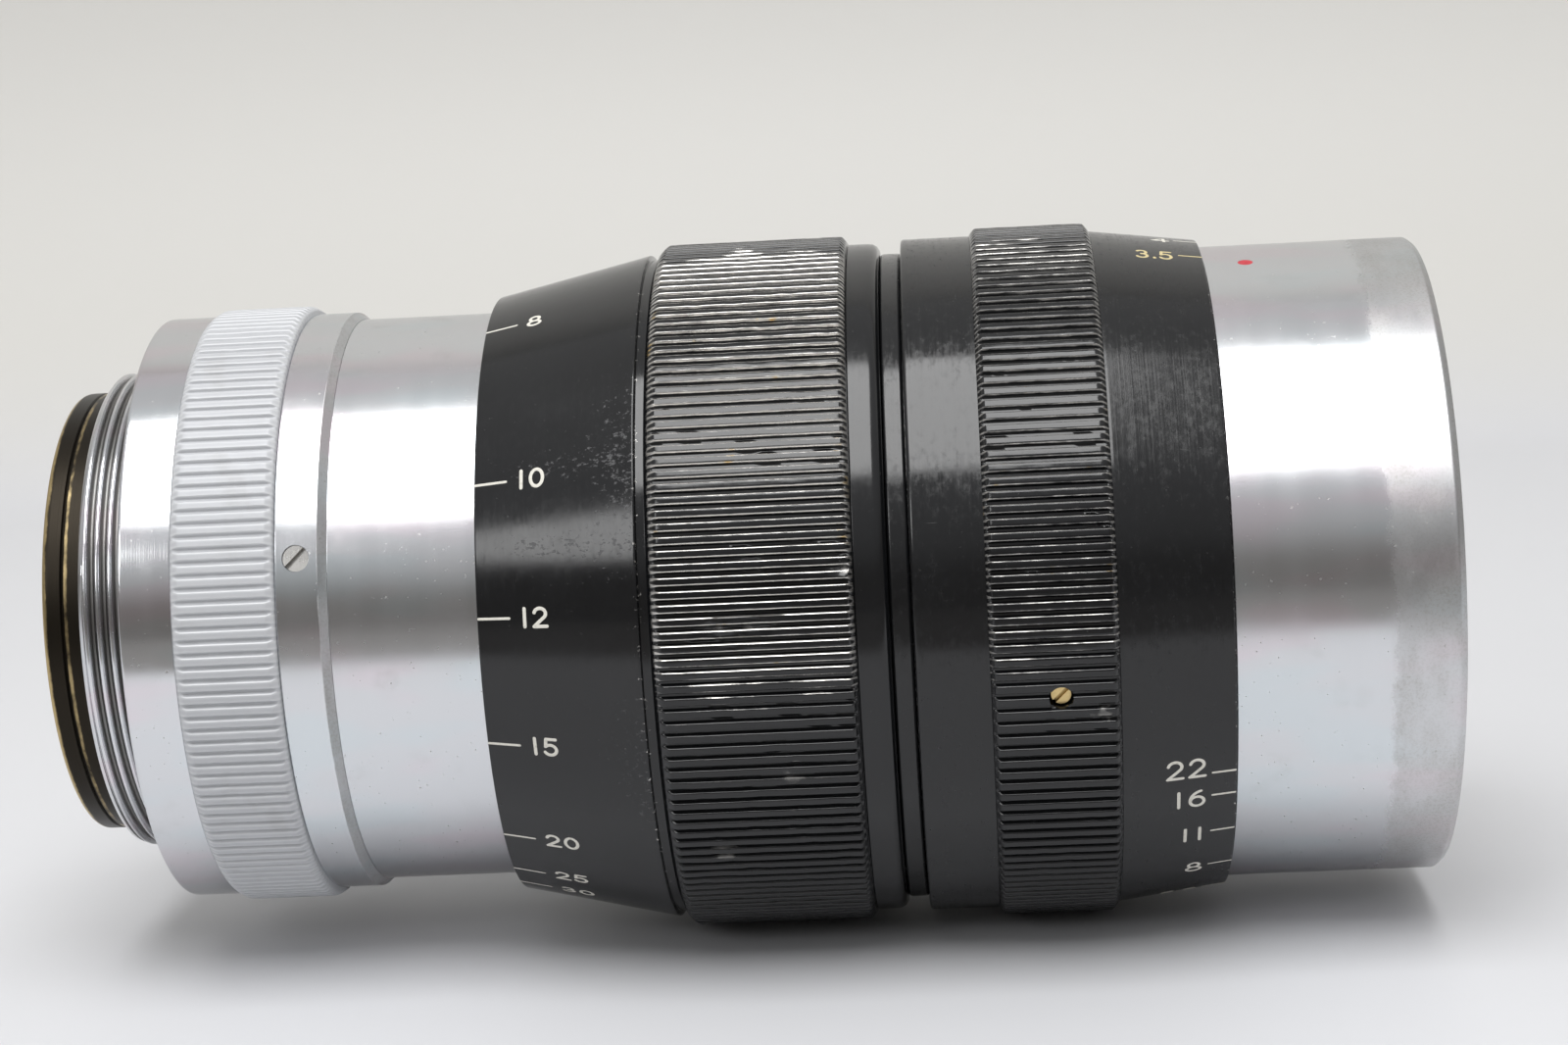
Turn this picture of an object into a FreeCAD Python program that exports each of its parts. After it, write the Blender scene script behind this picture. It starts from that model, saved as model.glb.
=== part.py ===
"""A long prime lens with a screw mount, built piece by piece.

Lengths are in millimetres. +X runs forwards along the optical axis, +Z is up, and the origin is the
centre of the mount's flange face. The lens is focused at infinity with its diaphragm fully open.
An angle called theta is measured about the axis from +Z towards -Y, so it grows as a part turns
positively about +X.
"""
import FreeCAD
import Part
import math
import os

# ---- clearances -----------------------------------------------------------------------------------
SEAT_GAP = 0.02                # between two round pieces that are screwed or pressed together
RUN_GAP = 0.05                 # radial, between two round pieces that turn or slide in each other
END_GAP = 0.05                 # axial, between two pieces that turn against each other
PIN_GAP = 0.04                 # radial, round a stud in its hole or slot
GLASS_GAP = 0.03               # round each glass in its cell

# ---- optics ---------------------------------------------------------------------------------------
FULL_STOP = 3.5                # widest f-number
LAST_STOP = 22.0               # smallest f-number

# ---- mount ----------------------------------------------------------------------------------------
THREAD_R = 19.5                # M39 camera thread, outer radius
THREAD_PITCH = 25.4 / 26
THREAD_DEPTH = 0.5
THREAD_LENGTH = 4.25
THREAD_RELIEF = 0.75           # plain groove beside the flange
UNDERCUT_LIP = 0.3             # from the thread's crests out to the flange's seating face
UNDERCUT_DEPTH = 0.15
FLANGE_LIP = 0.8               # how far the flange stands out past the fixed barrel
FLANGE_THICK = 4.1
BARREL_SEAT_DEPTH = 2.1        # how far the fixed barrel enters the flange
CAM_INSET = 1.5                # from the thread's crests in to the cam ring
CAM_WALL = 1.45
CAM_REACH = 7.5                # cam ring's end behind the flange face at infinity
CAM_GRIP = 7.0                 # cam ring left over the sleeve's neck at the closest distance
CAM_TRAVEL = 1.88
CAM_KEY_R = 0.8
CAM_KEY_BITE = 1.5             # how far the key goes into the flange past the thread's radius
CAM_KEY_THETA = 290.0
GRIP_LIP = 0.7                 # from the collar out to the grip ring's ridges
GRIP_LENGTH = 7.9
GRIP_DEPTH = 0.28
GRIP_TEETH = 152
COLLAR_LENGTH = 3.9
COLLAR_CHAMFER = 0.6
SET_SCREW_R = 1.0
SET_SCREW_X = 1.65             # from the collar's rear face
SET_SCREW_BITE = 0.6           # depth of its hole in the barrel
SET_SCREW_THETAS = (72.0, 192.0, 312.0)

# ---- fixed barrel and focusing helicoid -----------------------------------------------------------
CAM_ROOM = 2.5                 # from the cam ring out to the helicoid
BARREL_NECK_WALL = 1.0
BARREL_WALL = 2.5
BARREL_SHOWN = 11.5            # length left bare between collar and focus ring at infinity
FOCUS_TRAVEL = 14.5
FOCUS_TURN = 296.5             # degrees, from infinity to the closest distance
SLEEVE_NECK_WALL = 1.3
SLEEVE_WALL = 2.05
SLEEVE_NOSE_WALL = 3.15
SLEEVE_NOSE = 5.0

# ---- focus ring -----------------------------------------------------------------------------------
CONE_REAR_WALL = 1.27          # from the fixed barrel out to the cone's rear edge
CONE_LENGTH = 12.4
CONE_STEP = 0.05               # the cone's front edge lies this far inside the front land
CONE_GROOVE = 0.7
CONE_GROOVE_DEPTH = 0.45
KNURL_RUN_IN = 0.9             # chamfer at the focus knurl's rear edge
KNURL_DEPTH = 0.4
KNURL_BEVEL = 0.6
FOCUS_KNURL_LIP = 0.7          # from the front land out to the ridges
FOCUS_KNURL_LENGTH = 14.4
FOCUS_TEETH = 172
FOCUS_LAND_WALL = 4.1          # from the fixed barrel out to the front land
FOCUS_LAND_LENGTH = 2.6
FOCUS_LAND_ROUND = 1.0
FOCUS_LIP = 3.6                # length that slides on the fixed barrel
FOCUS_RELIEF = 1.3             # room for the stop between fixed barrel and focus ring
FOCUS_WEB = 3.4
WEB_SCREW_R = 0.8
WEB_SCREW_LENGTH = 5.2
STOP_THICK = 1.1
STOP_LENGTH = 2.6
STOP_MARGIN = 0.4
RAIL_WIDTH = 1.6
RAIL_THETA = 250.0

# ---- head -----------------------------------------------------------------------------------------
SPIGOT_WALL = 1.68
HEAD_FLANGE_LIP = 1.5          # from the helicoid out to the head barrel's flange
HEAD_COLLAR_INSET = 0.9        # from the focus ring's land in to the collar
HEAD_COLLAR_LENGTH = 1.65
HEAD_STEP = 1.0                # from the fixed barrel out to the tube that the aperture ring turns on
HEAD_WALL = 1.7
HEAD_NOSE_STEP = 0.6
APERTURE_LAND_WALL = 3.3
APERTURE_LAND_LENGTH = 5.55
APERTURE_KNURL_LIP = 0.6
APERTURE_KNURL_LENGTH = 9.6
APERTURE_TEETH = 168
APERTURE_CONE_STEP = 0.1
APERTURE_CONE_WALL = 2.1
APERTURE_CONE_LENGTH = 8.6
APERTURE_TURN = 77.3           # degrees, from the widest to the smallest stop
FRONT_WALL = 1.5
FRONT_REACH = 8.5              # from the front cell's face to the rim
FILTER_PITCH = 0.75
FILTER_CREST = 0.4             # depth of the filter thread
FILTER_DEPTH = 5.0

# ---- diaphragm ------------------------------------------------------------------------------------
BLADES = 9
BLADE_THICK = 0.06
BLADE_TILT = 0.085             # rise per length along the blade, so that neighbours pass each other
BLADE_LUG_R = 0.9
BLADE_TAPER = 36.0             # degrees over which an end narrows to its lug
BLADE_HIDE = 0.08              # how far the open blades stand back from the clear opening
BLADE_ROOM = 0.2               # along the axis, below and above the blades
STUD_R = 0.4
IRIS_FLOOR = 0.9
IRIS_WALL = 0.4
IRIS_WALL_GAP = 0.15           # from the blades' outer edges to the housing's wall
IRIS_RING_THICK = 1.6
COVER_THICK = 0.75
DRIVE_SCREW_X = 5.15           # from the aperture knurl's rear edge
DRIVE_SCREW_R = 0.75
DRIVE_POINT_R = 0.5
DRIVE_POINT_BITE = 1.6         # how deep the points enter the iris ring
DRIVE_HOLE_R = 0.9
DRIVE_HOLE_DEPTH = 0.9
DRIVE_THETAS = (100.3, 220.3, 340.3)
SLOT_MARGIN = 4.0              # degrees past each end of the aperture ring's turn

# ---- glass: a curve is a face's radius over its rim's, positive when its centre lies ahead of it --
CELL_WALL = 1.7
CELL_TAIL = 2.8                # from the front cell's rear end to the doublet
CELL_FLANGE = 1.8
FRONT_GLASS_DEPTH = 3.0        # from the front cell's face back to the front glass
FRONT_GLASS_RIM = 1.6
FRONT_CURVES = (-9.7, -2.67)
AIR_GAP = 0.3                  # between the doublet and the front glass on the axis
DOUBLET_STEP = 3.0             # from the front glass's rim in to the doublet's
DOUBLET_REAR_CENTRE = 1.5
DOUBLET_FRONT_RIM = 2.0
DOUBLET_CURVES = (-1.534, 8.5, -2.386)
REAR_CELL_WALL = 1.6
REAR_GLASS_RIM = 1.6
REAR_CURVES = (4.286, -6.43)

# ---- radii, worked outwards from the mount thread -------------------------------------------------
CAM_R = THREAD_R - CAM_INSET
HELICOID_R = CAM_R + CAM_ROOM
SLEEVE_R = HELICOID_R - RUN_GAP
SLEEVE_NECK_R = CAM_R - CAM_WALL - RUN_GAP
SLEEVE_NECK_BORE_R = SLEEVE_NECK_R - SLEEVE_NECK_WALL
SLEEVE_BORE_R = SLEEVE_R - SLEEVE_WALL
SLEEVE_NOSE_BORE_R = SLEEVE_R - SLEEVE_NOSE_WALL
BARREL_NECK_R = HELICOID_R + BARREL_NECK_WALL
BARREL_R = HELICOID_R + BARREL_WALL
FLANGE_R = BARREL_R + FLANGE_LIP
COLLAR_R = BARREL_R + COLLAR_CHAMFER
GRIP_R = COLLAR_R + GRIP_LIP
CONE_REAR_R = BARREL_R + CONE_REAR_WALL
FOCUS_RELIEF_R = BARREL_R + FOCUS_RELIEF
FOCUS_LAND_R = BARREL_R + FOCUS_LAND_WALL
CONE_FRONT_R = FOCUS_LAND_R - CONE_STEP
FOCUS_KNURL_R = FOCUS_LAND_R + FOCUS_KNURL_LIP
HEAD_COLLAR_R = FOCUS_LAND_R - HEAD_COLLAR_INSET
HEAD_FLANGE_R = HELICOID_R + HEAD_FLANGE_LIP
HEAD_SPIGOT_R = SLEEVE_NOSE_BORE_R - SEAT_GAP
HEAD_SPIGOT_BORE_R = HEAD_SPIGOT_R - SPIGOT_WALL
HEAD_R = BARREL_R + HEAD_STEP
HEAD_BORE_R = HEAD_R - HEAD_WALL
HEAD_NOSE_R = HEAD_R - HEAD_NOSE_STEP
APERTURE_LAND_R = HEAD_R + APERTURE_LAND_WALL
APERTURE_KNURL_R = APERTURE_LAND_R + APERTURE_KNURL_LIP
APERTURE_CONE_REAR_R = APERTURE_LAND_R - APERTURE_CONE_STEP
APERTURE_CONE_FRONT_R = HEAD_R + APERTURE_CONE_WALL
FRONT_R = HEAD_R + FRONT_WALL
FILTER_R = FRONT_R - FRONT_WALL
FRONT_GLASS_R = HEAD_BORE_R - CELL_WALL
DOUBLET_R = FRONT_GLASS_R - DOUBLET_STEP
REAR_GLASS_R = HEAD_SPIGOT_BORE_R - REAR_CELL_WALL

# ---- diaphragm motion -----------------------------------------------------------------------------
# A blade's far stud stays near the circle through its pivot, so it turns the blade by half the angle
# that the aperture ring turns, and the blade's chord subtends what is left of half a turn. The studs'
# circle is then the one whose blades fill the housing when open and leave the last stop when closed.
BLADE_SWING = APERTURE_TURN / 2
BLADE_SPAN = 180 - BLADE_SWING
BLADE_OUTER_R = HEAD_BORE_R - SEAT_GAP - IRIS_WALL - IRIS_WALL_GAP
STOP_RATIO = FULL_STOP / LAST_STOP
SWING_SINE = math.sin(math.radians(BLADE_SWING / 2))
BLADE_CENTRE_R = ((BLADE_OUTER_R * (1 - STOP_RATIO) - BLADE_HIDE * STOP_RATIO)
                  / (2 * (1 - SWING_SINE - STOP_RATIO)))
BLADE_HALF_WIDTH = BLADE_OUTER_R - BLADE_CENTRE_R
BLADE_CHORD = 2 * BLADE_CENTRE_R * math.cos(math.radians(BLADE_SWING / 2))
IRIS_CLEAR_R = BLADE_CENTRE_R - BLADE_HALF_WIDTH - BLADE_HIDE
IRIS_CHAMBER = BLADE_TILT * (BLADE_CHORD + BLADE_LUG_R) + BLADE_THICK + 2 * BLADE_ROOM

# ---- stations along the axis ----------------------------------------------------------------------
CAM_END_X = FOCUS_TRAVEL + CAM_GRIP - CAM_REACH
SLEEVE_STEP_X = CAM_END_X + 1.0
SLEEVE_REAR_X = 1.0 - CAM_REACH
BARREL_REAR_X = FLANGE_THICK - BARREL_SEAT_DEPTH
COLLAR_X = FLANGE_THICK + GRIP_LENGTH
SCREW_X = COLLAR_X + SET_SCREW_X
BARREL_STEP_X = COLLAR_X + COLLAR_LENGTH
FOCUS_X = BARREL_STEP_X + BARREL_SHOWN
LIP_END_X = FOCUS_X + FOCUS_LIP
STOP_X = LIP_END_X + FOCUS_TRAVEL + STOP_MARGIN
STOP_END_X = STOP_X + STOP_LENGTH
BARREL_END_X = STOP_END_X + STOP_MARGIN
CONE_END_X = FOCUS_X + CONE_LENGTH
KNURL_REAR_X = CONE_END_X + CONE_GROOVE
KNURL_FULL_X = KNURL_REAR_X + KNURL_RUN_IN
LAND_X = KNURL_FULL_X + FOCUS_KNURL_LENGTH
HEAD_COLLAR_X = LAND_X + FOCUS_LAND_LENGTH
WEB_X = HEAD_COLLAR_X - FOCUS_WEB
NOSE_X = WEB_X - SLEEVE_NOSE
APERTURE_X = HEAD_COLLAR_X + HEAD_COLLAR_LENGTH
APERTURE_KNURL_X = APERTURE_X + APERTURE_LAND_LENGTH
APERTURE_CONE_X = APERTURE_KNURL_X + APERTURE_KNURL_LENGTH
FRONT_X = APERTURE_CONE_X + APERTURE_CONE_LENGTH
DRIVE_X = APERTURE_KNURL_X + DRIVE_SCREW_X
IRIS_RING_X = DRIVE_X - IRIS_RING_THICK / 2 + 0.05
IRIS_X = IRIS_RING_X - IRIS_CHAMBER - IRIS_FLOOR - END_GAP
COVER_X = IRIS_RING_X + IRIS_RING_THICK + END_GAP
CELL_X = COVER_X + COVER_THICK


def face_sag(height, rim, curve):
    """How far ahead of its rim a spherical face lies at a height, for its curve in rim radii."""
    size = abs(curve) * rim
    depth = math.sqrt(size ** 2 - height ** 2) - math.sqrt(size ** 2 - rim ** 2)
    return -math.copysign(depth, curve)


DOUBLET_REAR_RIM = (DOUBLET_REAR_CENTRE + face_sag(0, DOUBLET_R, DOUBLET_CURVES[0])
                    - face_sag(0, DOUBLET_R, DOUBLET_CURVES[1]))
DOUBLET_X = CELL_X + CELL_TAIL
DOUBLET_END_X = DOUBLET_X + DOUBLET_REAR_RIM + DOUBLET_FRONT_RIM
FRONT_GLASS_X = (DOUBLET_END_X + AIR_GAP + face_sag(0, DOUBLET_R, DOUBLET_CURVES[2])
                 - face_sag(0, FRONT_GLASS_R, FRONT_CURVES[0]))
CELL_END_X = FRONT_GLASS_X + FRONT_GLASS_DEPTH
HEAD_END_X = CELL_END_X - CELL_FLANGE
RIM_X = CELL_END_X + FRONT_REACH
REAR_CELL_X = NOSE_X + 0.5
REAR_GLASS_X = REAR_CELL_X + 3.5


def at(x, radius, theta):
    """The point at a station, a radius and an angle about the axis."""
    angle = math.radians(theta)
    return FreeCAD.Vector(x, -radius * math.sin(angle), radius * math.cos(angle))


def turned(shape, theta, centre=FreeCAD.Vector(0, 0, 0)):
    """A copy turned about an axis parallel to X."""
    copy = shape.copy()
    copy.rotate(centre, FreeCAD.Vector(1, 0, 0), theta)
    return copy


def lathe(points):
    """A round piece from its half section, given as (x, radius) corners."""
    corners = [FreeCAD.Vector(x, 0, radius) for x, radius in points]
    section = Part.Face(Part.makePolygon(corners + corners[:1]))
    return section.revolve(FreeCAD.Vector(0, 0, 0), FreeCAD.Vector(1, 0, 0), 360)


def tube(start, end, outer_r, inner_r):
    return lathe([(start, inner_r), (start, outer_r), (end, outer_r), (end, inner_r)])


def rod(start, end, radius, centre_r=0.0, theta=0.0):
    """A cylinder parallel to the axis."""
    return Part.makeCylinder(radius, end - start, at(start, centre_r, theta), FreeCAD.Vector(1, 0, 0))


def radial_rod(x, theta, inner_r, outer_r, radius):
    """A cylinder that points away from the axis."""
    return Part.makeCylinder(radius, outer_r - inner_r, at(x, inner_r, theta), at(0, 1, theta))


def sector(start, end, outer_r, inner_r, theta, span):
    """A piece of a tube from theta onwards."""
    section = Part.Face(Part.makePolygon([
        at(start, inner_r, theta), at(start, outer_r, theta),
        at(end, outer_r, theta), at(end, inner_r, theta), at(start, inner_r, theta)]))
    return section.revolve(FreeCAD.Vector(0, 0, 0), FreeCAD.Vector(1, 0, 0), span)


def slotted_screw(x, theta, inner_r, outer_r, radius, slot_depth, slot_width, slot_angle=45.0):
    """A headless screw with a cut across its outer end."""
    screw = radial_rod(x, theta, inner_r, outer_r, radius)
    slot = Part.makeBox(4 * radius, slot_width, 2 * slot_depth,
                        FreeCAD.Vector(-2 * radius, -slot_width / 2, -slot_depth))
    slot.rotate(FreeCAD.Vector(0, 0, 0), FreeCAD.Vector(0, 0, 1), slot_angle)
    slot.translate(FreeCAD.Vector(x, 0, outer_r))
    return screw.cut(turned(slot, theta))


def groups(shapes):
    return Part.makeCompound(shapes)


def thread_grooves(start, end, crest_r, depth, pitch, inward=True):
    """Corners of a row of V grooves, from start to end, at the crest radius."""
    count = int((end - start) / pitch)
    root_r = crest_r - depth if inward else crest_r + depth
    corners = []
    for index in range(count):
        left = start + index * pitch
        corners.append((left + 0.26 * pitch, crest_r))
        corners.append((left + 0.5 * pitch, root_r))
        corners.append((left + 0.74 * pitch, crest_r))
    return corners


def knurl(start, end, crest_r, depth, teeth, bevel):
    """A band of straight ridges with flat tops, bevelled at both ends."""
    step = 360.0 / teeth
    corners = []
    for index in range(teeth):
        middle = index * step
        corners.append(at(start, crest_r, middle - 0.27 * step))
        corners.append(at(start, crest_r, middle + 0.27 * step))
        corners.append(at(start, crest_r - depth, middle + 0.42 * step))
        corners.append(at(start, crest_r - depth, middle + 0.58 * step))
    band = Part.Face(Part.makePolygon(corners + corners[:1])).extrude(FreeCAD.Vector(end - start, 0, 0))
    limit = lathe([(start, 0), (start, crest_r - bevel), (start + bevel, crest_r),
                   (end - bevel, crest_r), (end, crest_r - bevel), (end, 0)])
    return band.common(limit)


# ---- mount ----------------------------------------------------------------------------------------
def mount_flange():
    bore_r = CAM_R + RUN_GAP
    seat_r = BARREL_NECK_R + SEAT_GAP
    root_r = THREAD_R - THREAD_DEPTH
    face_r = THREAD_R + UNDERCUT_LIP
    thread_end = -THREAD_RELIEF
    body = lathe([(-THREAD_LENGTH, bore_r), (-THREAD_LENGTH, THREAD_R - 0.3)]
                 + thread_grooves(-THREAD_LENGTH + 0.1, thread_end, THREAD_R, THREAD_DEPTH, THREAD_PITCH)
                 + [(thread_end, THREAD_R), (thread_end + 0.1, root_r),
                    (UNDERCUT_DEPTH, root_r), (UNDERCUT_DEPTH, face_r), (0, face_r),
                    (0, FLANGE_R - 0.2), (0.2, FLANGE_R), (FLANGE_THICK, FLANGE_R),
                    (FLANGE_THICK, seat_r), (BARREL_REAR_X, seat_r), (BARREL_REAR_X, bore_r)])
    return body.cut(cam_key_body(PIN_GAP / 2))


def cam_key_x():
    return BARREL_REAR_X / 2


def cam_key_body(gap):
    inner_r = CAM_R - 0.7 * CAM_WALL
    return radial_rod(cam_key_x(), CAM_KEY_THETA, inner_r, THREAD_R + CAM_KEY_BITE + gap, CAM_KEY_R + gap)


def rf_cam_ring():
    """The ring that works the rangefinder, with the slot that keeps it from turning."""
    rear = -CAM_REACH
    inner_r = CAM_R - CAM_WALL
    groove = rear + 1.5
    ring = lathe([(rear, inner_r), (rear, CAM_R - 0.35), (rear + 0.35, CAM_R), (groove, CAM_R),
                  (groove + 0.15, CAM_R - 0.15), (groove + 0.3, CAM_R), (CAM_END_X, CAM_R),
                  (CAM_END_X, inner_r)])
    slot_floor_r = CAM_R - 0.7 * CAM_WALL - 0.1
    half_width = CAM_KEY_R + PIN_GAP
    slot_start = cam_key_x() - CAM_TRAVEL - 2 * PIN_GAP
    slot = Part.makeBox(CAM_TRAVEL + 4 * PIN_GAP, 2 * half_width, CAM_WALL,
                        FreeCAD.Vector(slot_start, -half_width, slot_floor_r))
    slot = turned(slot, CAM_KEY_THETA)
    for x in (slot_start, cam_key_x() + 2 * PIN_GAP):
        slot = slot.fuse(radial_rod(x, CAM_KEY_THETA, slot_floor_r, CAM_R + CAM_WALL, half_width))
    return ring.cut(slot)


def mount_grip_ring():
    bore_r = BARREL_NECK_R + SEAT_GAP
    bevel = GRIP_R - COLLAR_R
    ridges = knurl(FLANGE_THICK, COLLAR_X, GRIP_R, GRIP_DEPTH, GRIP_TEETH, bevel)
    return ridges.cut(rod(FLANGE_THICK - 1, COLLAR_X + 1, bore_r))


def mount_collar():
    bore_r = BARREL_NECK_R + SEAT_GAP
    collar = lathe([(COLLAR_X, bore_r), (COLLAR_X, COLLAR_R - 0.1), (COLLAR_X + 0.1, COLLAR_R),
                    (BARREL_STEP_X - COLLAR_CHAMFER, COLLAR_R), (BARREL_STEP_X, BARREL_R),
                    (BARREL_STEP_X, bore_r)])
    for theta in SET_SCREW_THETAS:
        collar = collar.cut(set_screw_hole(theta))
    return collar


def set_screw_hole(theta):
    return radial_rod(SCREW_X, theta, BARREL_NECK_R - SET_SCREW_BITE, GRIP_R, SET_SCREW_R + SEAT_GAP)


def collar_set_screws():
    return groups([slotted_screw(SCREW_X, theta, BARREL_NECK_R - SET_SCREW_BITE, COLLAR_R - 0.12,
                                 SET_SCREW_R, 0.45, 0.38) for theta in SET_SCREW_THETAS])


def fixed_barrel():
    barrel = lathe([(BARREL_REAR_X, HELICOID_R), (BARREL_REAR_X, BARREL_NECK_R),
                    (BARREL_STEP_X, BARREL_NECK_R), (BARREL_STEP_X, BARREL_R),
                    (BARREL_END_X, BARREL_R), (BARREL_END_X, HELICOID_R)])
    for theta in SET_SCREW_THETAS:
        barrel = barrel.cut(set_screw_hole(theta))
    for screw in stop_screw_bodies(SEAT_GAP):
        barrel = barrel.cut(screw)
    return barrel


# ---- focus stop -----------------------------------------------------------------------------------
def rail_span():
    """The angle that the rail fills, seen from the axis."""
    return math.degrees(RAIL_WIDTH / BARREL_R)


def stop_span():
    return 360 - FOCUS_TURN - rail_span() - 2 * math.degrees(END_GAP / BARREL_R)


def stop_start():
    return RAIL_THETA - rail_span() / 2 - math.degrees(END_GAP / BARREL_R) - stop_span()


def stop_screw_bodies(gap=0.0):
    screws = []
    for part in (0.25, 0.75):
        theta = stop_start() + part * stop_span()
        x = STOP_X + STOP_LENGTH / 2
        head = radial_rod(x, theta, BARREL_R + 0.5, BARREL_R + STOP_THICK, 0.95 + gap)
        shank = radial_rod(x, theta, BARREL_R - 1.6, BARREL_R + 0.6, 0.6 + gap)
        screws.append(head.fuse(shank))
    return screws


def stop_segment():
    """The curved block that ends the focus ring's turn both ways."""
    block = sector(STOP_X, STOP_END_X, BARREL_R + STOP_THICK, BARREL_R, stop_start(), stop_span())
    for screw in stop_screw_bodies(SEAT_GAP):
        block = block.cut(screw)
    return block


def stop_segment_screws():
    return groups(stop_screw_bodies())


def rail_box():
    start = LIP_END_X + 0.3
    bottom_r = BARREL_R + 4 * RUN_GAP
    box = Part.makeBox(STOP_END_X - start, RAIL_WIDTH, FOCUS_RELIEF_R + 1 - bottom_r,
                       FreeCAD.Vector(start, -RAIL_WIDTH / 2, bottom_r))
    return turned(box, RAIL_THETA).common(rod(start - 1, BARREL_END_X, FOCUS_RELIEF_R))


def rail_screws(gap=0.0):
    outer_r = FOCUS_RELIEF_R + 0.9
    return [radial_rod(x, RAIL_THETA, BARREL_R + 5 * RUN_GAP, outer_r + gap, 0.45 + gap)
            for x in (LIP_END_X + 6, STOP_X - 1)]


def stop_rail():
    rail = rail_box()
    for screw in rail_screws(SEAT_GAP):
        rail = rail.cut(screw)
    return rail


def stop_rail_screws():
    return groups(rail_screws())


# ---- focusing sleeve and ring ---------------------------------------------------------------------
def web_screws(gap=0.0):
    """Axial screws that hold the focus ring on the sleeve."""
    radius = (SLEEVE_NOSE_BORE_R + HELICOID_R) / 2
    screws = []
    for index in range(3):
        theta = 40 + 120 * index
        head = rod(HEAD_COLLAR_X - 1.0 - gap, HEAD_COLLAR_X, 1.3 + gap, radius, theta)
        shank = rod(HEAD_COLLAR_X - WEB_SCREW_LENGTH - gap, HEAD_COLLAR_X - 0.5, WEB_SCREW_R + gap,
                    radius, theta)
        screws.append(head.fuse(shank))
    return screws


def helicoid_sleeve():
    cone = SLEEVE_BORE_R - SLEEVE_NECK_BORE_R
    sleeve = lathe([(SLEEVE_REAR_X, SLEEVE_NECK_BORE_R), (SLEEVE_REAR_X, SLEEVE_NECK_R),
                    (SLEEVE_STEP_X, SLEEVE_NECK_R), (SLEEVE_STEP_X, SLEEVE_R), (WEB_X, SLEEVE_R),
                    (WEB_X, SLEEVE_NOSE_BORE_R), (NOSE_X, SLEEVE_NOSE_BORE_R), (NOSE_X, SLEEVE_BORE_R),
                    (SLEEVE_STEP_X + 1 + cone, SLEEVE_BORE_R), (SLEEVE_STEP_X + 1, SLEEVE_NECK_BORE_R)])
    for screw in web_screws(SEAT_GAP):
        sleeve = sleeve.cut(screw)
    return sleeve


def rear_baffle():
    """The light baffle ring inside the sleeve."""
    outer_r = SLEEVE_BORE_R - RUN_GAP
    middle = (SLEEVE_STEP_X + WEB_X) / 2
    return lathe([(middle - 1, outer_r - 0.4), (middle - 1, outer_r), (middle + 1, outer_r),
                  (middle + 1, outer_r - 2.8), (middle + 0.8, outer_r - 2.8), (middle + 0.6, outer_r - 0.4)])


def focus_ring():
    root_r = FOCUS_KNURL_R - KNURL_BEVEL - 0.3
    groove_r = CONE_FRONT_R - CONE_GROOVE_DEPTH
    full_x = KNURL_FULL_X - 0.1
    edge = [(HEAD_COLLAR_X + FOCUS_LAND_ROUND * (math.sin(math.radians(angle)) - 1),
             FOCUS_LAND_R + FOCUS_LAND_ROUND * (math.cos(math.radians(angle)) - 1))
            for angle in range(0, 91, 15)]
    body = lathe([(FOCUS_X, BARREL_R + RUN_GAP), (FOCUS_X, CONE_REAR_R - 0.15),
                  (FOCUS_X + 0.15, CONE_REAR_R), (CONE_END_X, CONE_FRONT_R), (CONE_END_X, groove_r),
                  (KNURL_REAR_X, groove_r), (full_x, root_r + 0.5), (full_x, root_r),
                  (LAND_X, root_r), (LAND_X, FOCUS_LAND_R)]
                 + edge
                 + [(HEAD_COLLAR_X, SLEEVE_NOSE_BORE_R), (WEB_X, SLEEVE_NOSE_BORE_R),
                    (WEB_X, FOCUS_RELIEF_R), (LIP_END_X + 0.3, FOCUS_RELIEF_R),
                    (LIP_END_X, BARREL_R + RUN_GAP)])
    ridges = knurl(KNURL_REAR_X + 0.2, LAND_X, FOCUS_KNURL_R, KNURL_DEPTH, FOCUS_TEETH, KNURL_BEVEL)
    ring = body.fuse(ridges.cut(rod(FOCUS_X, HEAD_COLLAR_X, root_r - 0.5)))
    for screw in web_screws(SEAT_GAP) + rail_screws(SEAT_GAP):
        ring = ring.cut(screw)
    return ring


def focus_ring_screws():
    slot = Part.makeBox(1, 3, 0.4, FreeCAD.Vector(HEAD_COLLAR_X - 0.4, -1.5, -0.2))
    radius = (SLEEVE_NOSE_BORE_R + HELICOID_R) / 2
    screws = []
    for index, screw in enumerate(web_screws()):
        cut = slot.copy()
        cut.translate(at(0, radius, 40 + 120 * index))
        screws.append(screw.cut(cut))
    return groups(screws)


# ---- head -----------------------------------------------------------------------------------------
def head_collar():
    inner_r = HEAD_FLANGE_R + SEAT_GAP
    return lathe([(HEAD_COLLAR_X, inner_r), (HEAD_COLLAR_X, HEAD_COLLAR_R - 0.3),
                  (HEAD_COLLAR_X + 0.3, HEAD_COLLAR_R), (APERTURE_X - 0.3, HEAD_COLLAR_R),
                  (APERTURE_X, HEAD_COLLAR_R - 0.3), (APERTURE_X, inner_r)])


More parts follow.
